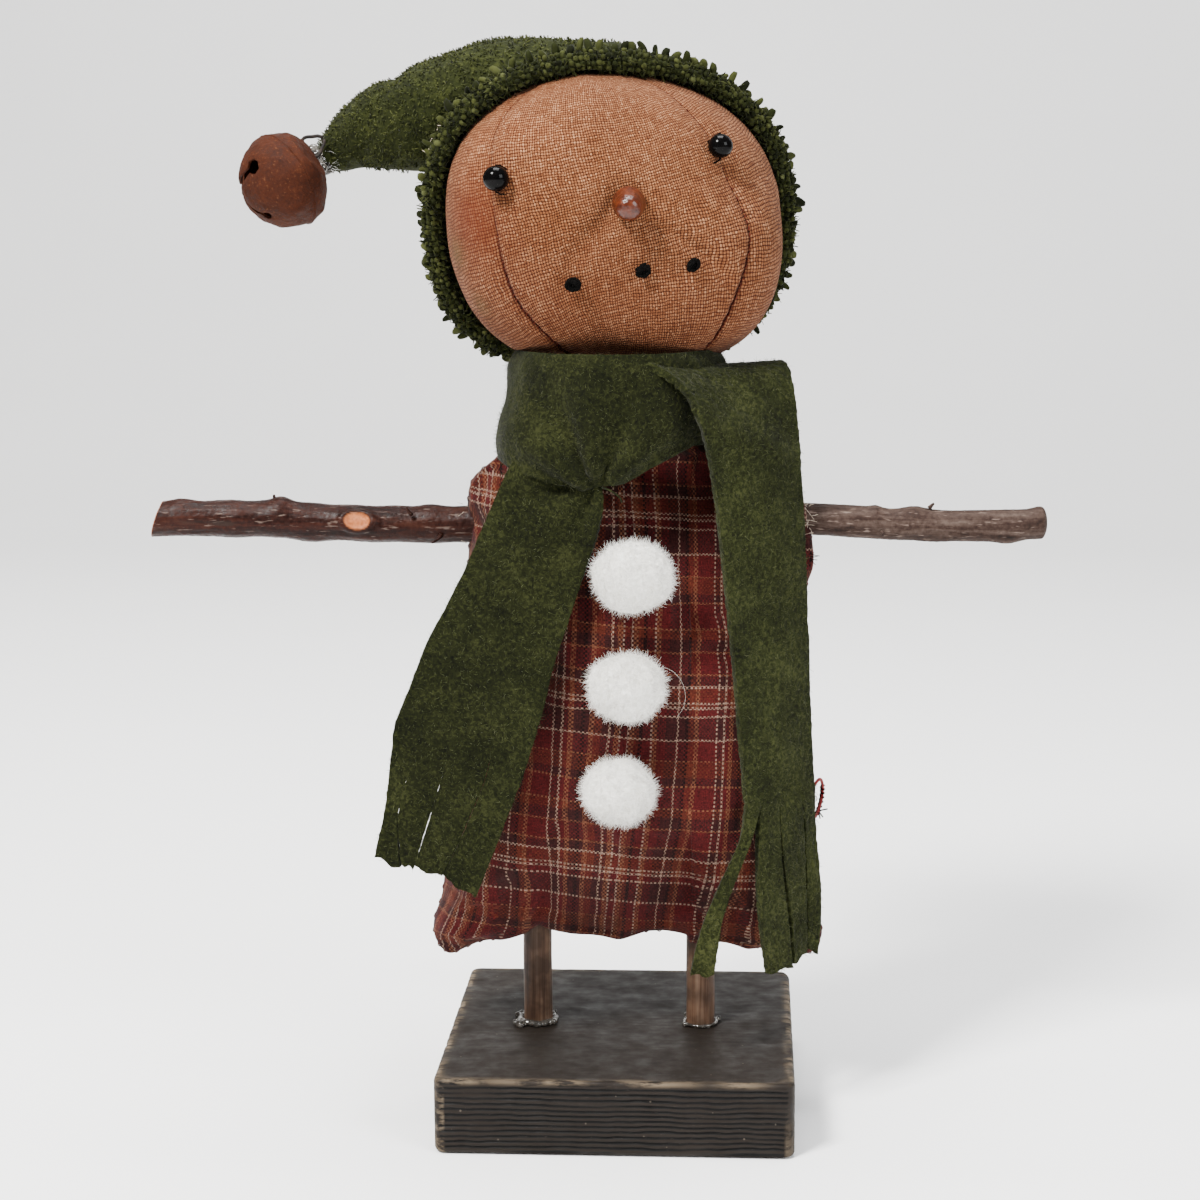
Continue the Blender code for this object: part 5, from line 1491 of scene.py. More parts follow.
def head_folds(azimuth, latitude, first, last):
    """Hand-made relief of the stuffed linen in metres: seams, puckers and soft folds."""
    to_seam = min(abs(azimuth - first), abs(azimuth - last))
    low = 1 - smoothstep(-30, 15, latitude)
    relief = -(0.15 + 0.5 * low) * bell_curve(to_seam, 1.3) - 0.35 * bell_curve(to_seam, 6.0)
    pucker = math.sin(latitude * 1.25 + 3 * grain((azimuth * MM, latitude * MM, 0), 14 * MM))
    relief += 0.16 * pucker * bell_curve(to_seam - 2.5, 2.6) * (0.15 + 0.85 * low)
    crease_left = bell_curve((latitude + 14) - 0.85 * (azimuth + 20), 6.0)
    relief -= 1.4 * crease_left * smoothstep(-34, -14, azimuth) * (1 - smoothstep(-4, 6, azimuth))
    crease_right = bell_curve((latitude + 12) + 0.75 * (azimuth - 22), 4.0)
    relief -= 1.7 * crease_right * smoothstep(8, 16, azimuth) * (1 - smoothstep(36, 46, azimuth))
    nose = math.hypot((azimuth - NOSE_SPOT[0]) * 0.6, (latitude - NOSE_SPOT[1]) * 0.58)
    relief -= 0.55 * bell_curve(nose, 5.5) - 0.25 * bell_curve(nose - 9, 4)
    point = (azimuth * 0.66 * MM, 0.0, latitude * 0.6 * MM)
    relief += 0.50 * grain(point, 19 * MM) + 0.14 * grain(point, 7 * MM)
    return relief * MM


def head_weave(azimuth, latitude):
    lean = 0.10 * max(0.0, latitude) * (1 - smoothstep(-30, 30, azimuth))
    return (azimuth * 0.66 + lean, latitude * 0.62 - 0.06 * azimuth, 0.0)


def head_mask(azimuth, latitude, first, last):
    """Blush beside the left eye, two olive stains, darkness in the seams, and painted shade darker towards
    the bottom and the left.
    """
    blush = bell_curve(math.hypot((azimuth + 58) * 0.62, (latitude - 5) * 0.6), 9.0) * 0.62
    blush *= 1.0 if azimuth < -48 else 0.55
    stain = bell_curve(math.hypot((azimuth + 72) * 0.6, (latitude + 6) * 0.6), 3.4) * 0.6
    stain += bell_curve(math.hypot((azimuth + 66) * 0.6, (latitude + 24) * 0.6), 2.8) * 0.5
    to_seam = min(abs(azimuth - first), abs(azimuth - last))
    low = 1 - smoothstep(-30, 15, latitude)
    seam = bell_curve(to_seam, 0.6) * (0.12 + 0.6 * low) + 0.10 * bell_curve(to_seam, 3.0)
    # Painted shade: the face grows darker towards the bottom and the left, away from the light at the upper
    # left.
    seam += 0.30 * (1 - smoothstep(-48, 8, latitude + 0.25 * azimuth))
    return (min(1.0, blush), min(1.0, stain), min(1.0, seam))


def make_head():
    panels = (
        ("face", left_seam, right_seam, 190, "head_face_panel"),
        ("left", lambda b: -SIDE_SEAM_ANGLE, left_seam, 120, "head_left_panel"),
        ("right", right_seam, lambda b: SIDE_SEAM_ANGLE, 120, "head_right_panel"),
        ("back", lambda b: SIDE_SEAM_ANGLE, lambda b: 360 - SIDE_SEAM_ANGLE, 90, "head_back_panel"),
    )
    rows = 230
    for side, first, last, columns, node in panels:
        ways, reliefs, weaves, masks = [], [], [], []
        for i in range(rows):
            latitude = mix(-84, 84, i / (rows - 1))
            begin, end = first(latitude), last(latitude)
            slim = 0.06 / max(0.15, math.cos(math.radians(latitude)))
            for j in range(columns):
                azimuth = mix(begin + slim, end - slim, j / (columns - 1))
                relief = head_folds(azimuth, latitude, begin, end)
                reliefs.append(relief * min(1.0, math.cos(math.radians(latitude)) * 2.2))
                ways.append(face_direction(azimuth, latitude))
                weaves.append(head_weave(azimuth, latitude))
                masks.append(head_mask(azimuth, latitude, begin, end))
        reach = head_reaches(HEAD_CENTRE, ways) + np.array(reliefs)
        verts = [HEAD_CENTRE + way * float(far) for way, far in zip(ways, reach)]
        faces = grid_faces(rows, columns)
        panel = make_object("head_" + side + "_linen", verts, faces, LINEN)
        store(panel, "rest", verts)
        store(panel, "weave", weaves)
        store(panel, "mask", masks)
        thicken(panel, LINEN_THICKNESS)
        panel.data.shade_smooth()
        stands_for = (node, "head_stuffing") if side == "face" else (node,)
        place(panel, slot="tea_dyed_linen", stands_for=stands_for)
    stitches = []
    for seam in (left_seam, right_seam):
        for k in range(62):
            latitude = -66 + 2.0 * k
            if k % 2 and latitude > -8:
                continue
            azimuth = seam(latitude)
            across = 1.1 if k % 2 else 0.6
            a = head_point(azimuth - across * 0.4, latitude, -0.9 * MM)
            b = head_point(azimuth, latitude + 0.5, -0.45 * MM)
            c = head_point(azimuth + across * 0.4, latitude + 1.2, -0.9 * MM)
            stitches.append([a, b, c])
    thread = tubes("head_seam_stitches", stitches, 0.15 * MM, 5, THREAD_RED)
    place(remember(thread), slot="black_thread")


def make_eyes():
    for name in ("eye_left", "eye_right"):
        low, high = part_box(name)
        centre = box_middle(name)
        radius = (high[2] - low[2]) / 2
        verts = []
        rows, sides = 30, 44
        hole = 0.45 * MM
        for i in range(rows):
            t = math.pi * (0.045 + 0.91 * i / (rows - 1))
            ring = radius * math.sin(t)
            up = radius * math.cos(t) * 0.97
            for j in range(sides):
                angle = 2 * math.pi * j / sides
                verts.append(centre + Vector((ring * math.cos(angle), ring * math.sin(angle), up)))
        for i in range(1, 5):
            up = -radius * 0.97 * math.cos(math.pi * 0.045) * (1 - i / 2.5)
            for j in range(sides):
                angle = 2 * math.pi * j / sides
                verts.append(centre + Vector((hole * math.cos(angle), hole * math.sin(angle), up)))
        total = rows + 4
        faces = grid_faces(total, sides, around=True)
        last = (total - 1) * sides
        faces += [(last + j, last + (j + 1) % sides, (j + 1) % sides, j) for j in range(sides)]
        bead = make_object(name + "_bead", verts, faces, BEAD)
        face_out(bead)
        remember(bead)
        place(bead, slot="black_bead", stands_for=(name,))
        inward = (HEAD_CENTRE - centre).normalized()
        ends = []
        for way in (1, -1):
            tip = centre + Vector((0, 0, way * radius * 0.90))
            ends.append([tip - Vector((0, 0, way * 0.8 * MM)), tip + Vector((0, 0, way * 0.35 * MM)),
                         tip + inward * 1.6 * MM + Vector((0, 0, way * 0.5 * MM)), tip + inward * 4.4 * MM])
        thread = tubes(name + "_thread", ends, 0.22 * MM, 6, THREAD_BLACK)
        place(remember(thread), slot="black_thread")


def make_nose():
    spot = head_point(*NOSE_SPOT, -0.6 * MM)
    aim = (head_normal(*NOSE_SPOT) + Vector((-0.08, 0, -0.22))).normalized()
    side = aim.orthogonal().normalized()
    up = aim.cross(side)
    profile = [(0.90, -0.10), (0.97, 0.0), (1.0, 0.12), (0.97, 0.28), (0.90, 0.45), (0.84, 0.62),
               (0.77, 0.76), (0.69, 0.86), (0.58, 0.93), (0.42, 0.98), (0.22, 1.0), (0.04, 1.005)]
    verts = []
    sides, rows = 64, 70
    for i in range(rows):
        place_on = i / (rows - 1) * (len(profile) - 1)
        k = min(int(place_on), len(profile) - 2)
        ring = mix(profile[k][0], profile[k + 1][0], place_on - k)
        along = mix(profile[k][1], profile[k + 1][1], place_on - k)
        for j in range(sides):
            angle = 2 * math.pi * j / sides
            way = side * math.cos(angle) + up * math.sin(angle)
            skin = way * NOSE_RADIUS * MM
            ahead = aim * along * NOSE_LENGTH * MM
            dent = (0.10 * grain(skin + ahead, 1.6 * MM)
                    + 0.05 * grain(skin + aim * along * 3 * MM, 0.6 * MM))
            verts.append(spot + ahead + way * (ring * NOSE_RADIUS + dent * min(1, ring * 2)) * MM)
    faces = grid_faces(rows, sides, around=True)
    faces.append(tuple(reversed(range(sides))))
    faces.append(tuple((rows - 1) * sides + j for j in range(sides)))
    nose = face_out(make_object("nose_peg", verts, faces, NOSE))
    remember(nose)
    place(nose, slot="brown_nose", stands_for=("nose",))


def make_mouth():
    dice = random.Random(21)
    for name in ("mouth_stitch_left", "mouth_stitch_middle", "mouth_stitch_right"):
        low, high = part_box(name)
        centre = box_middle(name)
        radius = (high[2] - low[2]) / 2
        out = (centre - HEAD_CENTRE).normalized()
        side = out.cross(UP).normalized()
        up = side.cross(out)
        lines = []
        for _ in range(9):
            tilt = dice.uniform(0, math.pi)
            lean = dice.uniform(-0.5, 0.5)
            a = side * math.cos(tilt) + up * math.sin(tilt)
            b = (up * math.cos(tilt) - side * math.sin(tilt)) * math.cos(lean) + out * math.sin(lean)
            size = radius * dice.uniform(0.55, 0.86)
            middle = centre + (side * dice.uniform(-0.2, 0.2) + up * dice.uniform(-0.2, 0.2)) * radius
            middle -= out * 0.2 * radius
            line = []
            for k in range(15):
                angle = 2 * math.pi * k / 14 * 0.97
                line.append(middle + (a * math.cos(angle) * 1.0 + b * math.sin(angle) * 0.75) * size
                            + out * 0.30 * radius * math.sin(angle * 0.5))
            lines.append(line)
        lines.append([centre - out * 0.6 * radius + side * 0.2 * radius, centre + out * 0.35 * radius,
                      centre - out * 0.6 * radius - side * 0.3 * radius])
        knot = tubes(name + "_knot", lines, 0.42 * MM, 7, THREAD_BLACK)
        place(remember(knot), slot="black_thread", stands_for=(name,))


# ---- stocking cap ------------------------------------------------------------------------------


def rim_point(degrees):
    angle = math.radians(degrees)
    direction = RIM_UP * math.cos(angle) + RIM_RIGHT * math.sin(angle)
    sag = 1.5 * MM * math.exp(-(((degrees % 360) - 222) / 28) ** 2)
    reach = head_reach(RIM_MIDDLE, direction, ROLL_RADIUS + 0.5 * MM) + sag
    return RIM_MIDDLE + direction * reach, direction


def bend(made):
    """Bakes the piece's transform into its mesh."""
    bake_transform(made)


def make_cap():
    work = bmesh.new()
    bmesh.ops.create_icosphere(work, subdivisions=5, radius=1.0)
    ways = [vertex.co.normalized() for vertex in work.verts]
    for vertex, way, far in zip(work.verts, ways, head_reaches(HEAD_CENTRE, ways, 3.4 * MM)):
        vertex.co = HEAD_CENTRE + way * float(far)
    line = [vector_mm(point) for point, radius in TAIL_LINE]
    sizes = [radius for point, radius in TAIL_LINE]
    shares = [k / (TAIL_BALLS - 1) for k in range(TAIL_BALLS)]
    add_balls(work, [(curve_at(line, s), curve_at(sizes, s) * MM) for s in shares])
    cap = melt("cap_cloth", work, 0.9 * MM, 12, VELOUR)
    normals = [vertex.normal.copy() for vertex in cap.data.vertices]
    for vertex, normal in zip(cap.data.vertices, normals):
        point = vertex.co
        lump = (0.65 * grain(point, 13 * MM, 5) + 0.35 * grain(point, 5.5 * MM, 5)
                + 0.14 * grain(point, 2.2 * MM, 5))
        wrap = bell_curve((point.x / MM + 50) + 0.5 * (point.z / MM - 252), 3.0)
        fold = bell_curve((point.x / MM + 62) - 0.4 * (point.z / MM - 249), 2.2)
        high_wrap = wrap * smoothstep(236, 258, point.z / MM)
        vertex.co = point + normal * (lump - 0.7 * high_wrap - 0.5 * fold) * MM
    work = bmesh.new()
    work.from_mesh(cap.data)
    cut = RIM_MIDDLE - RIM_AHEAD * 0.4 * MM
    bmesh.ops.bisect_plane(work, geom=work.verts[:] + work.edges[:] + work.faces[:], plane_co=cut,
                           plane_no=RIM_AHEAD, clear_outer=True)
    loose = [v for v in work.verts if not v.link_faces]
    bmesh.ops.delete(work, geom=loose, context="VERTS")
    work.to_mesh(cap.data)
    work.free()
    thicken(cap, CAP_CLOTH)
    cap.data.shade_smooth()
    remember(cap)
    tail_from = -30 * MM
    roots, normals = scatter(cap, 52000, 5)
    outside = ((roots - np.array(RIM_MIDDLE)) * normals).sum(1) > -6 * MM
    core_x = (-0.0724, -0.061, -0.05, -0.033, -0.002)
    core_y = (0.0079, 0.0068, 0.0046, 0.007, 0.004)
    core_z = (0.2439, 0.2495, 0.2523, 0.250, 0.229)
    centre = np.array([np.interp(roots[:, 0], core_x, way) for way in (core_y, core_z)]).T
    from_core = roots - np.column_stack([roots[:, 0] * 0 + np.minimum(roots[:, 0], -0.0013), centre])
    outward = (from_core * normals).sum(1) > 0
    keep = outside & outward
    roots, normals = roots[keep], normals[keep]
    dice = np.random.default_rng(8)
    ways = unit_rows(normals + dice.normal(size=normals.shape) * 0.45 + np.array([-0.35, 0, -0.25]))
    on_tail = roots[:, 0] < tail_from
    pick = dice.uniform(size=len(roots))
    near = on_tail & (pick < 0.75)
    rest = ~on_tail & (pick < 0.40)
    groups = (("cap_tail_pile", near, 0.85, 0.17), ("cap_crown_pile", rest, 1.0, 0.2))
    made = [cap]
    for name, mask, reach, width in groups:
        share = np.flatnonzero(mask)[:15500]
        hair = strands(name, roots[share] - normals[share] * 0.2 * MM, ways[share], reach * MM, width * MM,
                       VELOUR_PILE, 31, 0.7, shape=NUB)
        made.append(hair)
    for piece in made:
        bend(piece)
    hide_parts("hat_crown", "hat_tail", "hat_tail_stuffing")


def make_brim():
    sides = 22
    count = 300
    verts = []
    rows = []
    for i in range(count):
        point, direction = rim_point(360 * i / count)
        rows.append((point, direction))
    for point, direction in rows:
        for j in range(sides):
            angle = 2 * math.pi * j / sides
            way = direction * math.cos(angle) + RIM_AHEAD * math.sin(angle)
            skin = point + way * 3 * MM
            lump = 0.35 * grain(skin, 2.4 * MM, 2) + 0.25 * grain(skin, 1.1 * MM, 2)
            verts.append(point + way * (2.1 + lump) * MM)
    faces = []
    for i in range(count):
        for j in range(sides):
            k, m = (i + 1) % count, (j + 1) % sides
            faces.append((i * sides + j, i * sides + m, k * sides + m, k * sides + j))
    roll = face_out(make_object("cap_brim_roll", verts, faces, VELOUR))
    remember(roll)
    place(roll, slot="green_chenille", stands_for=("hat_brim_roll",))
    dice = random.Random(61)
    roots, ways, stub_roots, stub_ways = [], [], [], []
    for i in range(200):
        point, direction = rim_point(360 * (i + dice.uniform(-0.2, 0.2)) / 200)
        for k in range(9):
            angle = math.radians(mix(-150, 120, k / 8) + dice.uniform(-9, 9))
            way = direction * math.cos(angle) + RIM_AHEAD * math.sin(angle)
            roots.append(point + way * 1.9 * MM)
            ways.append(way + toss(dice, (-0.3, 0.3), (-0.3, 0.3), (-0.3, 0.3)))
    for i in range(100):
        point, direction = rim_point(3.6 * i + dice.uniform(-0.9, 0.9))
        stub_roots.append(point + direction * 1.9 * MM - RIM_AHEAD * dice.uniform(0.0, 1.6) * MM)
        way = direction * 0.9 - RIM_AHEAD * dice.uniform(0.0, 0.6)
        stub_ways.append(way + toss(dice, (-0.4, 0.4), (-0.2, 0.2), (-0.4, 0.4)))
    nubs = strands("cap_brim_nubs", np.array(roots), np.array(ways), 1.1 * MM, 0.62 * MM, BRIM_PILE, 62, 0.3,
                   shape=KNOB, sides=7)
    stubs = strands("cap_brim_stubs", np.array(stub_roots), np.array(stub_ways), 2.7 * MM, 0.88 * MM,
                    BRIM_PILE, 63, 0.4, shape=KNOB, sides=8)
    roots, normals = scatter(roll, 5200, 6)
    dice_many = np.random.default_rng(64)
    ways = unit_rows(normals + dice_many.normal(size=normals.shape) * 0.7)
    loops = strands("cap_brim_loops", roots, ways, 1.5 * MM, 0.15 * MM, BRIM_PILE, 65, 0.9, shape=NUB,
                    sides=4)
    for piece in (nubs, stubs, loops):
        place(piece, slot="green_chenille")
    corner = Vector((-44.5, -9.0, 247.0)) * MM
    lines = []
    for _ in range(14):
        begin = corner + toss(dice, (-2, 2), (-1, 1), (-4, 4)) * MM
        way = toss(dice, (-1, 1), (-0.8, 0.1), (-1, 1)).normalized()
        lines.append([begin, begin + way * 0.9 * MM,
                      begin + way * 1.7 * MM + UP * dice.uniform(-0.5, 0.5) * MM])
    pale = tubes("cap_pale_threads", lines, 0.11 * MM, 4, THREAD_CREAM, 0.6)
    place(remember(pale), slot="green_chenille")


# ---- jingle bell -------------------------------------------------------------------------------


def bell_axes(up):
    """Two directions across up, the first one towards the slot that shows, and up itself."""
    side = (BELL_SLOT_SIDE - up * BELL_SLOT_SIDE.dot(up)).normalized()
    return side, up.cross(side), up


def bell_half(name, way):
    """Half a dented steel ball with a rim flange and a crushed flank; way is 1 for the loop's half."""
    side, other, up = bell_axes(BELL_AXIS)
    rows, around = 64, 168
    verts = []
    for i in range(rows):
        tilt = math.radians(mix(0.8, 89.2, i / (rows - 1)))
        height = math.sin(tilt)
        ring = math.cos(tilt)
        flange = 0.35 * MM * bell_curve(tilt, 0.035) if way > 0 else 0.12 * MM * bell_curve(tilt, 0.03)
        for j in range(around):
            angle = 2 * math.pi * j / around
            out = side * (ring * math.cos(angle)) + other * (ring * math.sin(angle)) + up * (way * height)
            dent = 0.95 * grain(out, 0.70, 3) + 0.30 * grain(out, 0.27, 4) + 0.12 * grain(out, 0.09, 3)
            flat = side * math.cos(angle) + other * math.sin(angle)
            squash = up * (-0.20 * height * BELL_RADIUS) if way > 0 else Vector((0, 0, 0))
            place_out = out * (BELL_RADIUS - 0.25 * MM) + flat * flange + squash
            beyond = place_out.dot(BELL_CRUSH) - BELL_CRUSH_FROM * BELL_RADIUS
            if beyond > 0:
                place_out = place_out - BELL_CRUSH * (beyond * BELL_CRUSH_SHARE)
            verts.append(BELL_CENTRE + place_out + out * (dent * MM))
    faces = grid_faces(rows, around, around=True, flip=way < 0)
    pole = range(around) if way > 0 else reversed(range(around))
    faces.append(tuple((rows - 1) * around + j for j in pole))
    half = make_object(name, verts, faces, RUST)
    thicken(half, BELL_WALL, -1.0)
    half.data.shade_smooth()
    return half


def cut_away(made, work):
    """Cuts the closed shape in the bmesh out of the piece."""
    bmesh.ops.recalc_face_normals(work, faces=work.faces)
    mesh = bpy.data.meshes.new("cutter")
    work.to_mesh(mesh)
    work.free()
    tool = bpy.data.objects.new("cutter", mesh)
    bpy.context.scene.collection.objects.link(tool)
    cut = made.modifiers.new("cut", "BOOLEAN")
    cut.object = tool
    cut.operation = "DIFFERENCE"
    cut.solver = "EXACT"
    apply_modifiers(made)
    bpy.data.objects.remove(tool)


def make_bell():
    upper = bell_half("bell_upper_shell", 1)
    lower = bell_half("bell_lower_shell", -1)
    first, second, back = bell_axes(BELL_SLOT_AXIS)
    for way, across, wide in ((first, second, 1.05), (second, first, 0.7)):
        slot = bmesh.new()
        near, far = [], []
        steps = 28
        for k in range(steps + 1):
            angle = mix(-BELL_SLOT_REACH, BELL_SLOT_REACH, k / steps)
            spoke = way * math.sin(angle) - back * math.cos(angle)
            half_width = across * mix(wide * 1.3, 0.5 * wide, abs(2 * k / steps - 1)) * MM
            for sign in (-1, 1):
                near.append(slot.verts.new(BELL_CENTRE + spoke * BELL_RADIUS * 0.7 + half_width * sign))
                far.append(slot.verts.new(BELL_CENTRE + spoke * BELL_RADIUS * 1.3 + half_width * sign))
        for k in range(0, 2 * steps, 2):
            for quad in ((near[k], near[k + 1], near[k + 3], near[k + 2]),
                         (far[k], far[k + 2], far[k + 3], far[k + 1]),
                         (near[k], near[k + 2], far[k + 2], far[k]),
                         (near[k + 1], far[k + 1], far[k + 3], near[k + 3])):
                slot.faces.new(quad)
        slot.faces.new((near[0], far[0], far[1], near[1]))
        slot.faces.new((near[-2], near[-1], far[-1], far[-2]))
        cut_away(lower, slot)
    holes = bmesh.new()
    for way, size in ((first, 1.9), (-first, 1.5), (second, 1.2), (-second, 1.2)):
        spoke = way * math.sin(BELL_SLOT_REACH) - back * math.cos(BELL_SLOT_REACH)
        pose = spoke.to_track_quat("Z", "Y").to_matrix().to_4x4()
        pose.translation = BELL_CENTRE + spoke * BELL_RADIUS
        bmesh.ops.create_cone(holes, cap_ends=True, segments=7, radius1=size * MM, radius2=size * MM,
                              depth=6 * MM, matrix=pose)
    cut_away(lower, holes)
    for half, node in ((upper, "bell_upper"), (lower, "bell_lower")):
        remember(half)
        place(half, "hat_tail", "rusty_steel", (node,))
    low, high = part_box("bell_pellet")
    centre = box_middle("bell_pellet")
    work = bmesh.new()
    bmesh.ops.create_icosphere(work, subdivisions=5, radius=1.0)
    for vertex in work.verts:
        way = vertex.co.normalized()
        vertex.co = centre + way * ((high[0] - low[0]) / 2 - 0.1 * MM) * (1 + 0.03 * grain(way, 0.5, 9))
    ball = finish_bmesh("bell_pellet_ball", work, RUST)
    remember(ball)
    place(ball, "bell_pellet", "rusty_steel", ("bell_pellet",))
    ring = []
    for k in range(25):
        angle = 2 * math.pi * k / 24 * 0.985
        corner = 1 + 0.16 * math.cos(3 * angle)
        way = BELL_LOOP_UP * math.cos(angle) + BELL_LOOP_SIDE * math.sin(angle)
        ring.append(BELL_LOOP_MIDDLE + way * BELL_LOOP_RADIUS * corner)
    inside = BELL_CENTRE + BELL_CRUSH * BELL_RADIUS * 0.6
    foot = [ring[12] + BELL_LOOP_SIDE * 0.6 * MM, inside]
    other_foot = [ring[12] - BELL_LOOP_SIDE * 0.6 * MM, inside + BELL_LOOP_SIDE * 0.8 * MM]
    loop = tubes("bell_wire_loop", [ring, foot, other_foot], 0.45 * MM, 10, WIRE)
    remember(loop)
    place(loop, "hat_tail", "dark_wire", ("bell_loop",))
    dice = np.random.default_rng(77)
    low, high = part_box("bell_glue")
    centre = (np.array(low) + np.array(high)) / 2
    ways = unit_rows(dice.normal(size=(150, 3)))
    roots = centre + ways * np.array([3.4, 3.2, 4.2]) * MM
    fuzz = strands("bell_glue_fuzz", roots, ways, 1.7 * MM, 0.04 * MM, WOOL_HAIR, 78, 1.2)
    place(fuzz, "hat_tail", "hot_glue")


# ---- felt scarf --------------------------------------------------------------------------------


def rung_point(rungs, s, t, bow):
    """A point on a ruled strip: s runs down its rungs, t across, and bow crowns it forward."""
    a = curve_at([vector_mm(first) for first, second in rungs], s)
    b = curve_at([vector_mm(second) for first, second in rungs], s)
    return a.lerp(b, t) + Vector((0, -bow * 4 * t * (1 - t), 0))


def felt_surface(name, rungs, tongues, rows, bow, tongue_rows, lumps, shape, felt):
    """An open strip whose lower end is cut into tongues that share its last row's vertices."""
    columns = FELT_COLUMNS
    verts = []
    for i in range(rows):
        s = i / (rows - 1)
        for j in range(columns):
            verts.append(rung_point(rungs, s, j / (columns - 1), bow(s)))
    faces = grid_faces(rows, columns)
    last = (rows - 1) * columns
    for first, second, more in tongues:
        a = round(first * (columns - 1))
        b = round(second * (columns - 1))
        width = b - a + 1
        ends = (tuple(verts[last + a] / MM), tuple(verts[last + b] / MM))
        line = (ends,) + tuple(more)
        before = list(range(last + a, last + b + 1))
        for i in range(1, tongue_rows + 1):
            s = i / tongue_rows
            now = []
            for j in range(width):
                t = j / (width - 1)
                point = rung_point(line, s, t, bow(1.0) * (1 - s) * (second - first))
                point.z += 0.5 * MM * math.sin(t * 7 + first * 20) * smoothstep(0.9, 1.0, s)
                now.append(len(verts))
                verts.append(point)
            for j in range(width - 1):
                faces.append((before[j], before[j + 1], now[j + 1], now[j]))
            before = now
    made = make_object(name, verts, faces, felt)
    for vertex in made.data.vertices:
        point = vertex.co.copy()
        wave = (lumps * grain(point, 14 * MM, 11) + 0.30 * grain(point, 5 * MM, 12)
                + 0.10 * grain(point, 1.8 * MM, 13))
        ragged = 0.22 * grain(point, 1.1 * MM, 15) + 0.15 * grain(point, 0.6 * MM, 16)
        vertex.co = point + Vector((ragged, wave, ragged)) * MM + shape(point)
    return made


def felt_fuzz(name, cloth, count, seed):
    roots, normals = scatter(cloth, count, seed)
    dice = np.random.default_rng(seed + 5)
    ways = unit_rows(normals * 0.55 + dice.normal(size=normals.shape) * 0.6)
    return strands(name, roots - normals * 0.1 * MM, ways, 1.0 * MM, 0.05 * MM, FELT_HAIR, seed, 1.1)


def pinch_folds(point):
    """Folds that fan down the cloth from where the scarf is stitched together."""
    x, z = point.x / MM - PINCH[0], point.z / MM - PINCH[1] - 3
    reach = math.hypot(x, z)
    fan = math.atan2(x, -z)
    rise = math.sin(fan * 7.5 + 0.8) * smoothstep(2, 9, reach) * (1 - smoothstep(14, 34, reach))
    return Vector((0, -0.9 * rise * MM, 0))


def make_tail_left():
    cloth = felt_surface("scarf_left_felt", TAIL_LEFT, TAIL_LEFT_TONGUES, 120,
                         lambda s: 1.2 * MM * (1 - s * 0.5), 44, 0.7, pinch_folds, FELT_CLOTH)
    thicken(cloth, FELT_THICKNESS, 0.0, FELT_ROUNDING)
    remember(cloth)
    fuzz = felt_fuzz("scarf_left_fuzz", cloth, 7500, 3)
    for piece in (cloth, fuzz):
        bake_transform(piece)
    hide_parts("scarf_tail_left")


def make_tail_right():
    def settle(point):
        crease = 1.3 * MM * bell_curve((point.z / MM - 176) + 0.5 * (point.x / MM - 30), 4.0)
        return Vector((0, -crease if point.y < -8 * MM else 0, 0))

    # The right tail takes the felt painted lighter, as painted light.
    cloth = felt_surface("scarf_right_felt", TAIL_RIGHT, TAIL_RIGHT_TONGUES, 210,
                         lambda s: 1.0 * MM, 54, 0.8, settle, FELT_CLOTH_PAINTED_LIT)
    thicken(cloth, FELT_THICKNESS, 0.0, FELT_ROUNDING)
    remember(cloth)
    fuzz = felt_fuzz("scarf_right_fuzz", cloth, 11000, 4)
    for piece in (cloth, fuzz):
        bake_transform(piece)
    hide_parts("scarf_tail_right")


def wrap_limits(angle):
    """Top and bottom of the neck wrap in millimetres; angle 0 is the front, positive to the right."""
    front = (1 + math.cos(angle)) / 2
    top = mix(193.5, 195.3, smoothstep(0.0, 0.75, front))
    x = 26 * math.sin(angle)
    low = mix(170.0, 173.0, front)
    if front > 0.5:
        rise = 0.22 if x < PINCH[0] else 0.36
        low = min(173.5, 163.4 + rise * abs(x - PINCH[0]) + 0.003 * (x - PINCH[0]) ** 2)
    return top, low


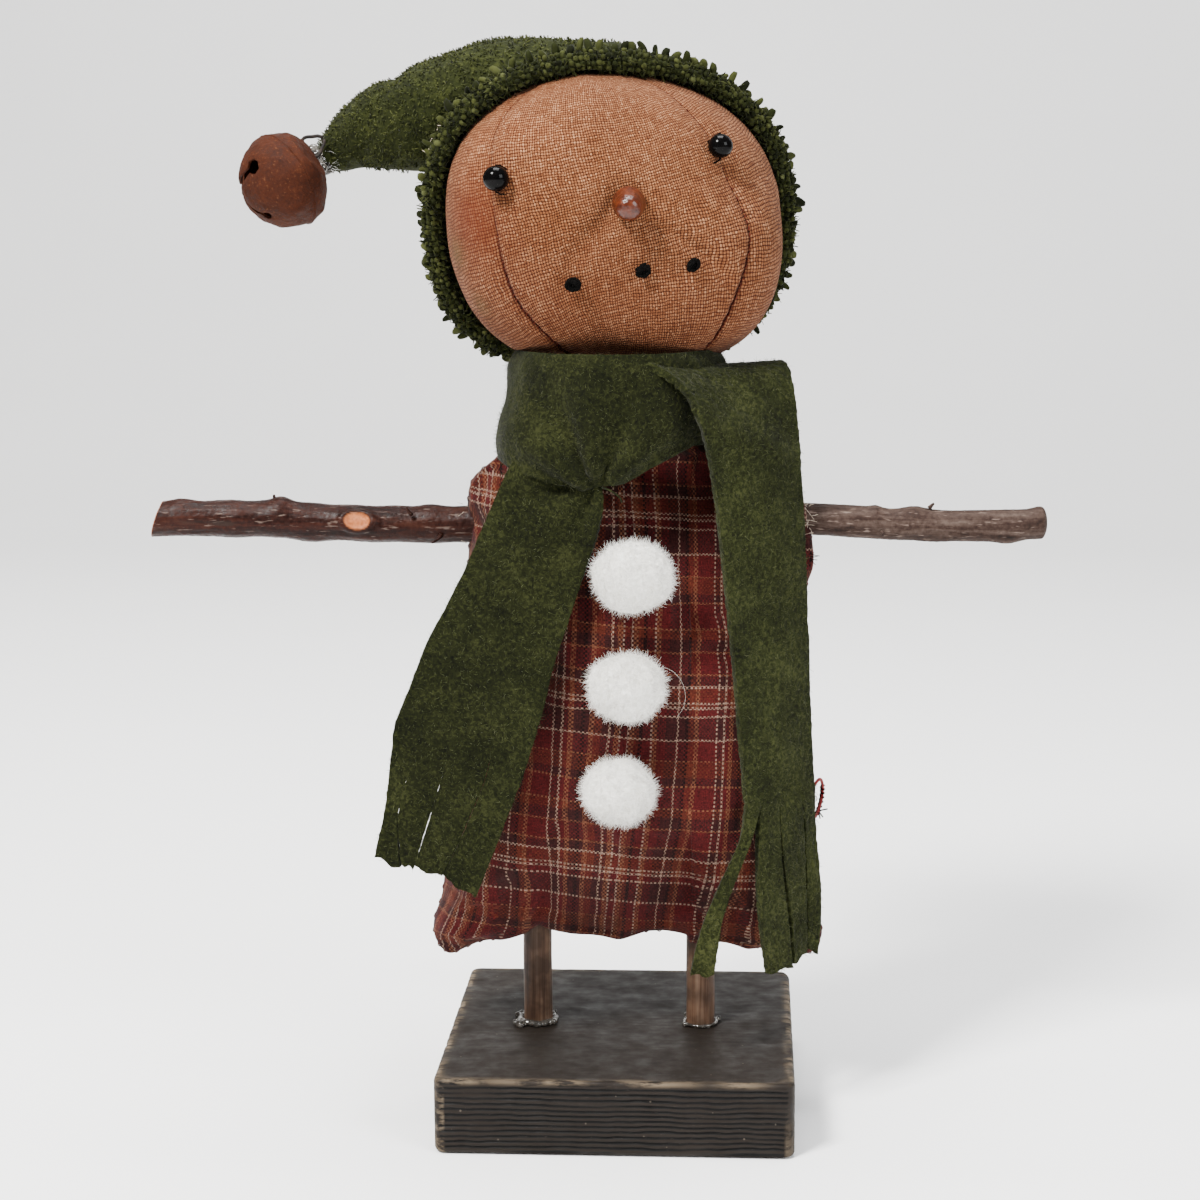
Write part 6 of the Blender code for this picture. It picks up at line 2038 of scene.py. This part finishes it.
def make_wrap():
    around = 320
    rows = 64
    verts = []
    for i in range(rows):
        t = i / (rows - 1)
        for j in range(around):
            angle = -math.pi + 2 * math.pi * j / around
            top, low = wrap_limits(angle)
            z = mix(top, low, t)
            front = max(0.0, math.cos(angle))
            left = max(0.0, -math.sin(angle))
            boxy = 1.0
            if front:
                boxy = mix(1.0, 0.62, smoothstep(0.25, 0.9, t) * smoothstep(-0.35, 0.1, -math.sin(angle)))
            across = math.copysign(abs(math.sin(angle)) ** boxy, math.sin(angle))
            ahead = math.copysign(abs(math.cos(angle)) ** boxy, math.cos(angle))
            curl = 1.3 * math.sin(math.pi * t) ** 0.6 - 1.2 * bell_curve(t, 0.08)
            curl += (3.2 * left * smoothstep(0.35, 1.0, t)
                     - 1.4 * (1 - front) * (1 - left) * smoothstep(0.75, 1.0, t))
            x = WRAP_HALF_WIDTH / MM * across
            fan = math.atan2(z - PINCH[1] + 3.0, x - PINCH[0])
            reach = math.hypot(x - PINCH[0], z - PINCH[1] + 3.0)
            folds = (1.3 * math.sin(fan * 8.5 + 0.5) * smoothstep(1.5, 8, reach)
                     * (1 - smoothstep(20, 38, reach)) * front)
            pinch = -2.6 * bell_curve(reach, 5.5) * front
            wide = (WRAP_HALF_WIDTH / MM + curl + folds + pinch) * MM
            deep = (WRAP_HALF_DEPTH / MM + 1.2 + curl + folds + pinch) * MM
            spot = Vector((wide * across, WRAP_CENTRE_Y - deep * ahead, z * MM))
            soft = 0.5 * grain(spot, 9 * MM, 21) + 0.22 * grain(spot, 3 * MM, 22)
            out = Vector((math.sin(angle), -math.cos(angle), 0))
            ragged = 0.3 * grain(spot, 1.3 * MM, 23) if i in (0, rows - 1) else 0.0
            verts.append(spot + out * soft * MM + UP * ragged * MM)
    cloth = make_object("scarf_wrap_felt", verts, grid_faces(rows, around, around=True, flip=True),
                        FELT_CLOTH)
    thicken(cloth, FELT_THICKNESS, 0.0, FELT_ROUNDING)
    remember(cloth)
    place(cloth, slot="green_felt", stands_for=("scarf_neck_wrap",))
    fuzz = felt_fuzz("scarf_wrap_fuzz", cloth, 9000, 6)
    place(fuzz, slot="green_felt")
    centre = box_middle("scarf_tack_stitch")
    lines = []
    for turn in range(3):
        size = mix(1.5, 1.0, turn / 2) * MM
        loop = []
        for k in range(14):
            a = 0.42 * k + turn
            sink = -0.9 * MM - 0.3 * MM * math.sin(a * 2 + turn)
            loop.append(centre + Vector((math.cos(a) * size, sink, math.sin(a) * size * 1.2)))
        lines.append(loop)
    for route in (((1.2, -0.8, -1.4), (3.2, -1.4, -2.6), (5.4, -1.0, -2.2), (7.0, -0.8, -3.0)),
                  ((9.5, -0.6, -4.6), (11.5, -2.2, -5.2), (13.6, -2.6, -6.6), (14.2, -1.8, -8.0))):
        lines.append(even_curve([centre + vector_mm(p) for p in route], 12))
    tack = tubes("scarf_tack_thread", lines, 0.28 * MM, 6, FELT_CLOTH, 0.8)
    place(remember(tack), slot="green_felt", stands_for=("scarf_tack_stitch",))


# ---- the whole figure --------------------------------------------------------------------------


add_camera()
add_lights()
add_floor()
make_tag_cord()
make_block()
make_legs()
make_glue()
make_body()
make_seam_threads()
make_pompoms()
make_arms()
make_head()
make_eyes()
make_nose()
make_mouth()
make_cap()
make_brim()
make_bell()
make_wrap()
make_tail_left()
make_tail_right()
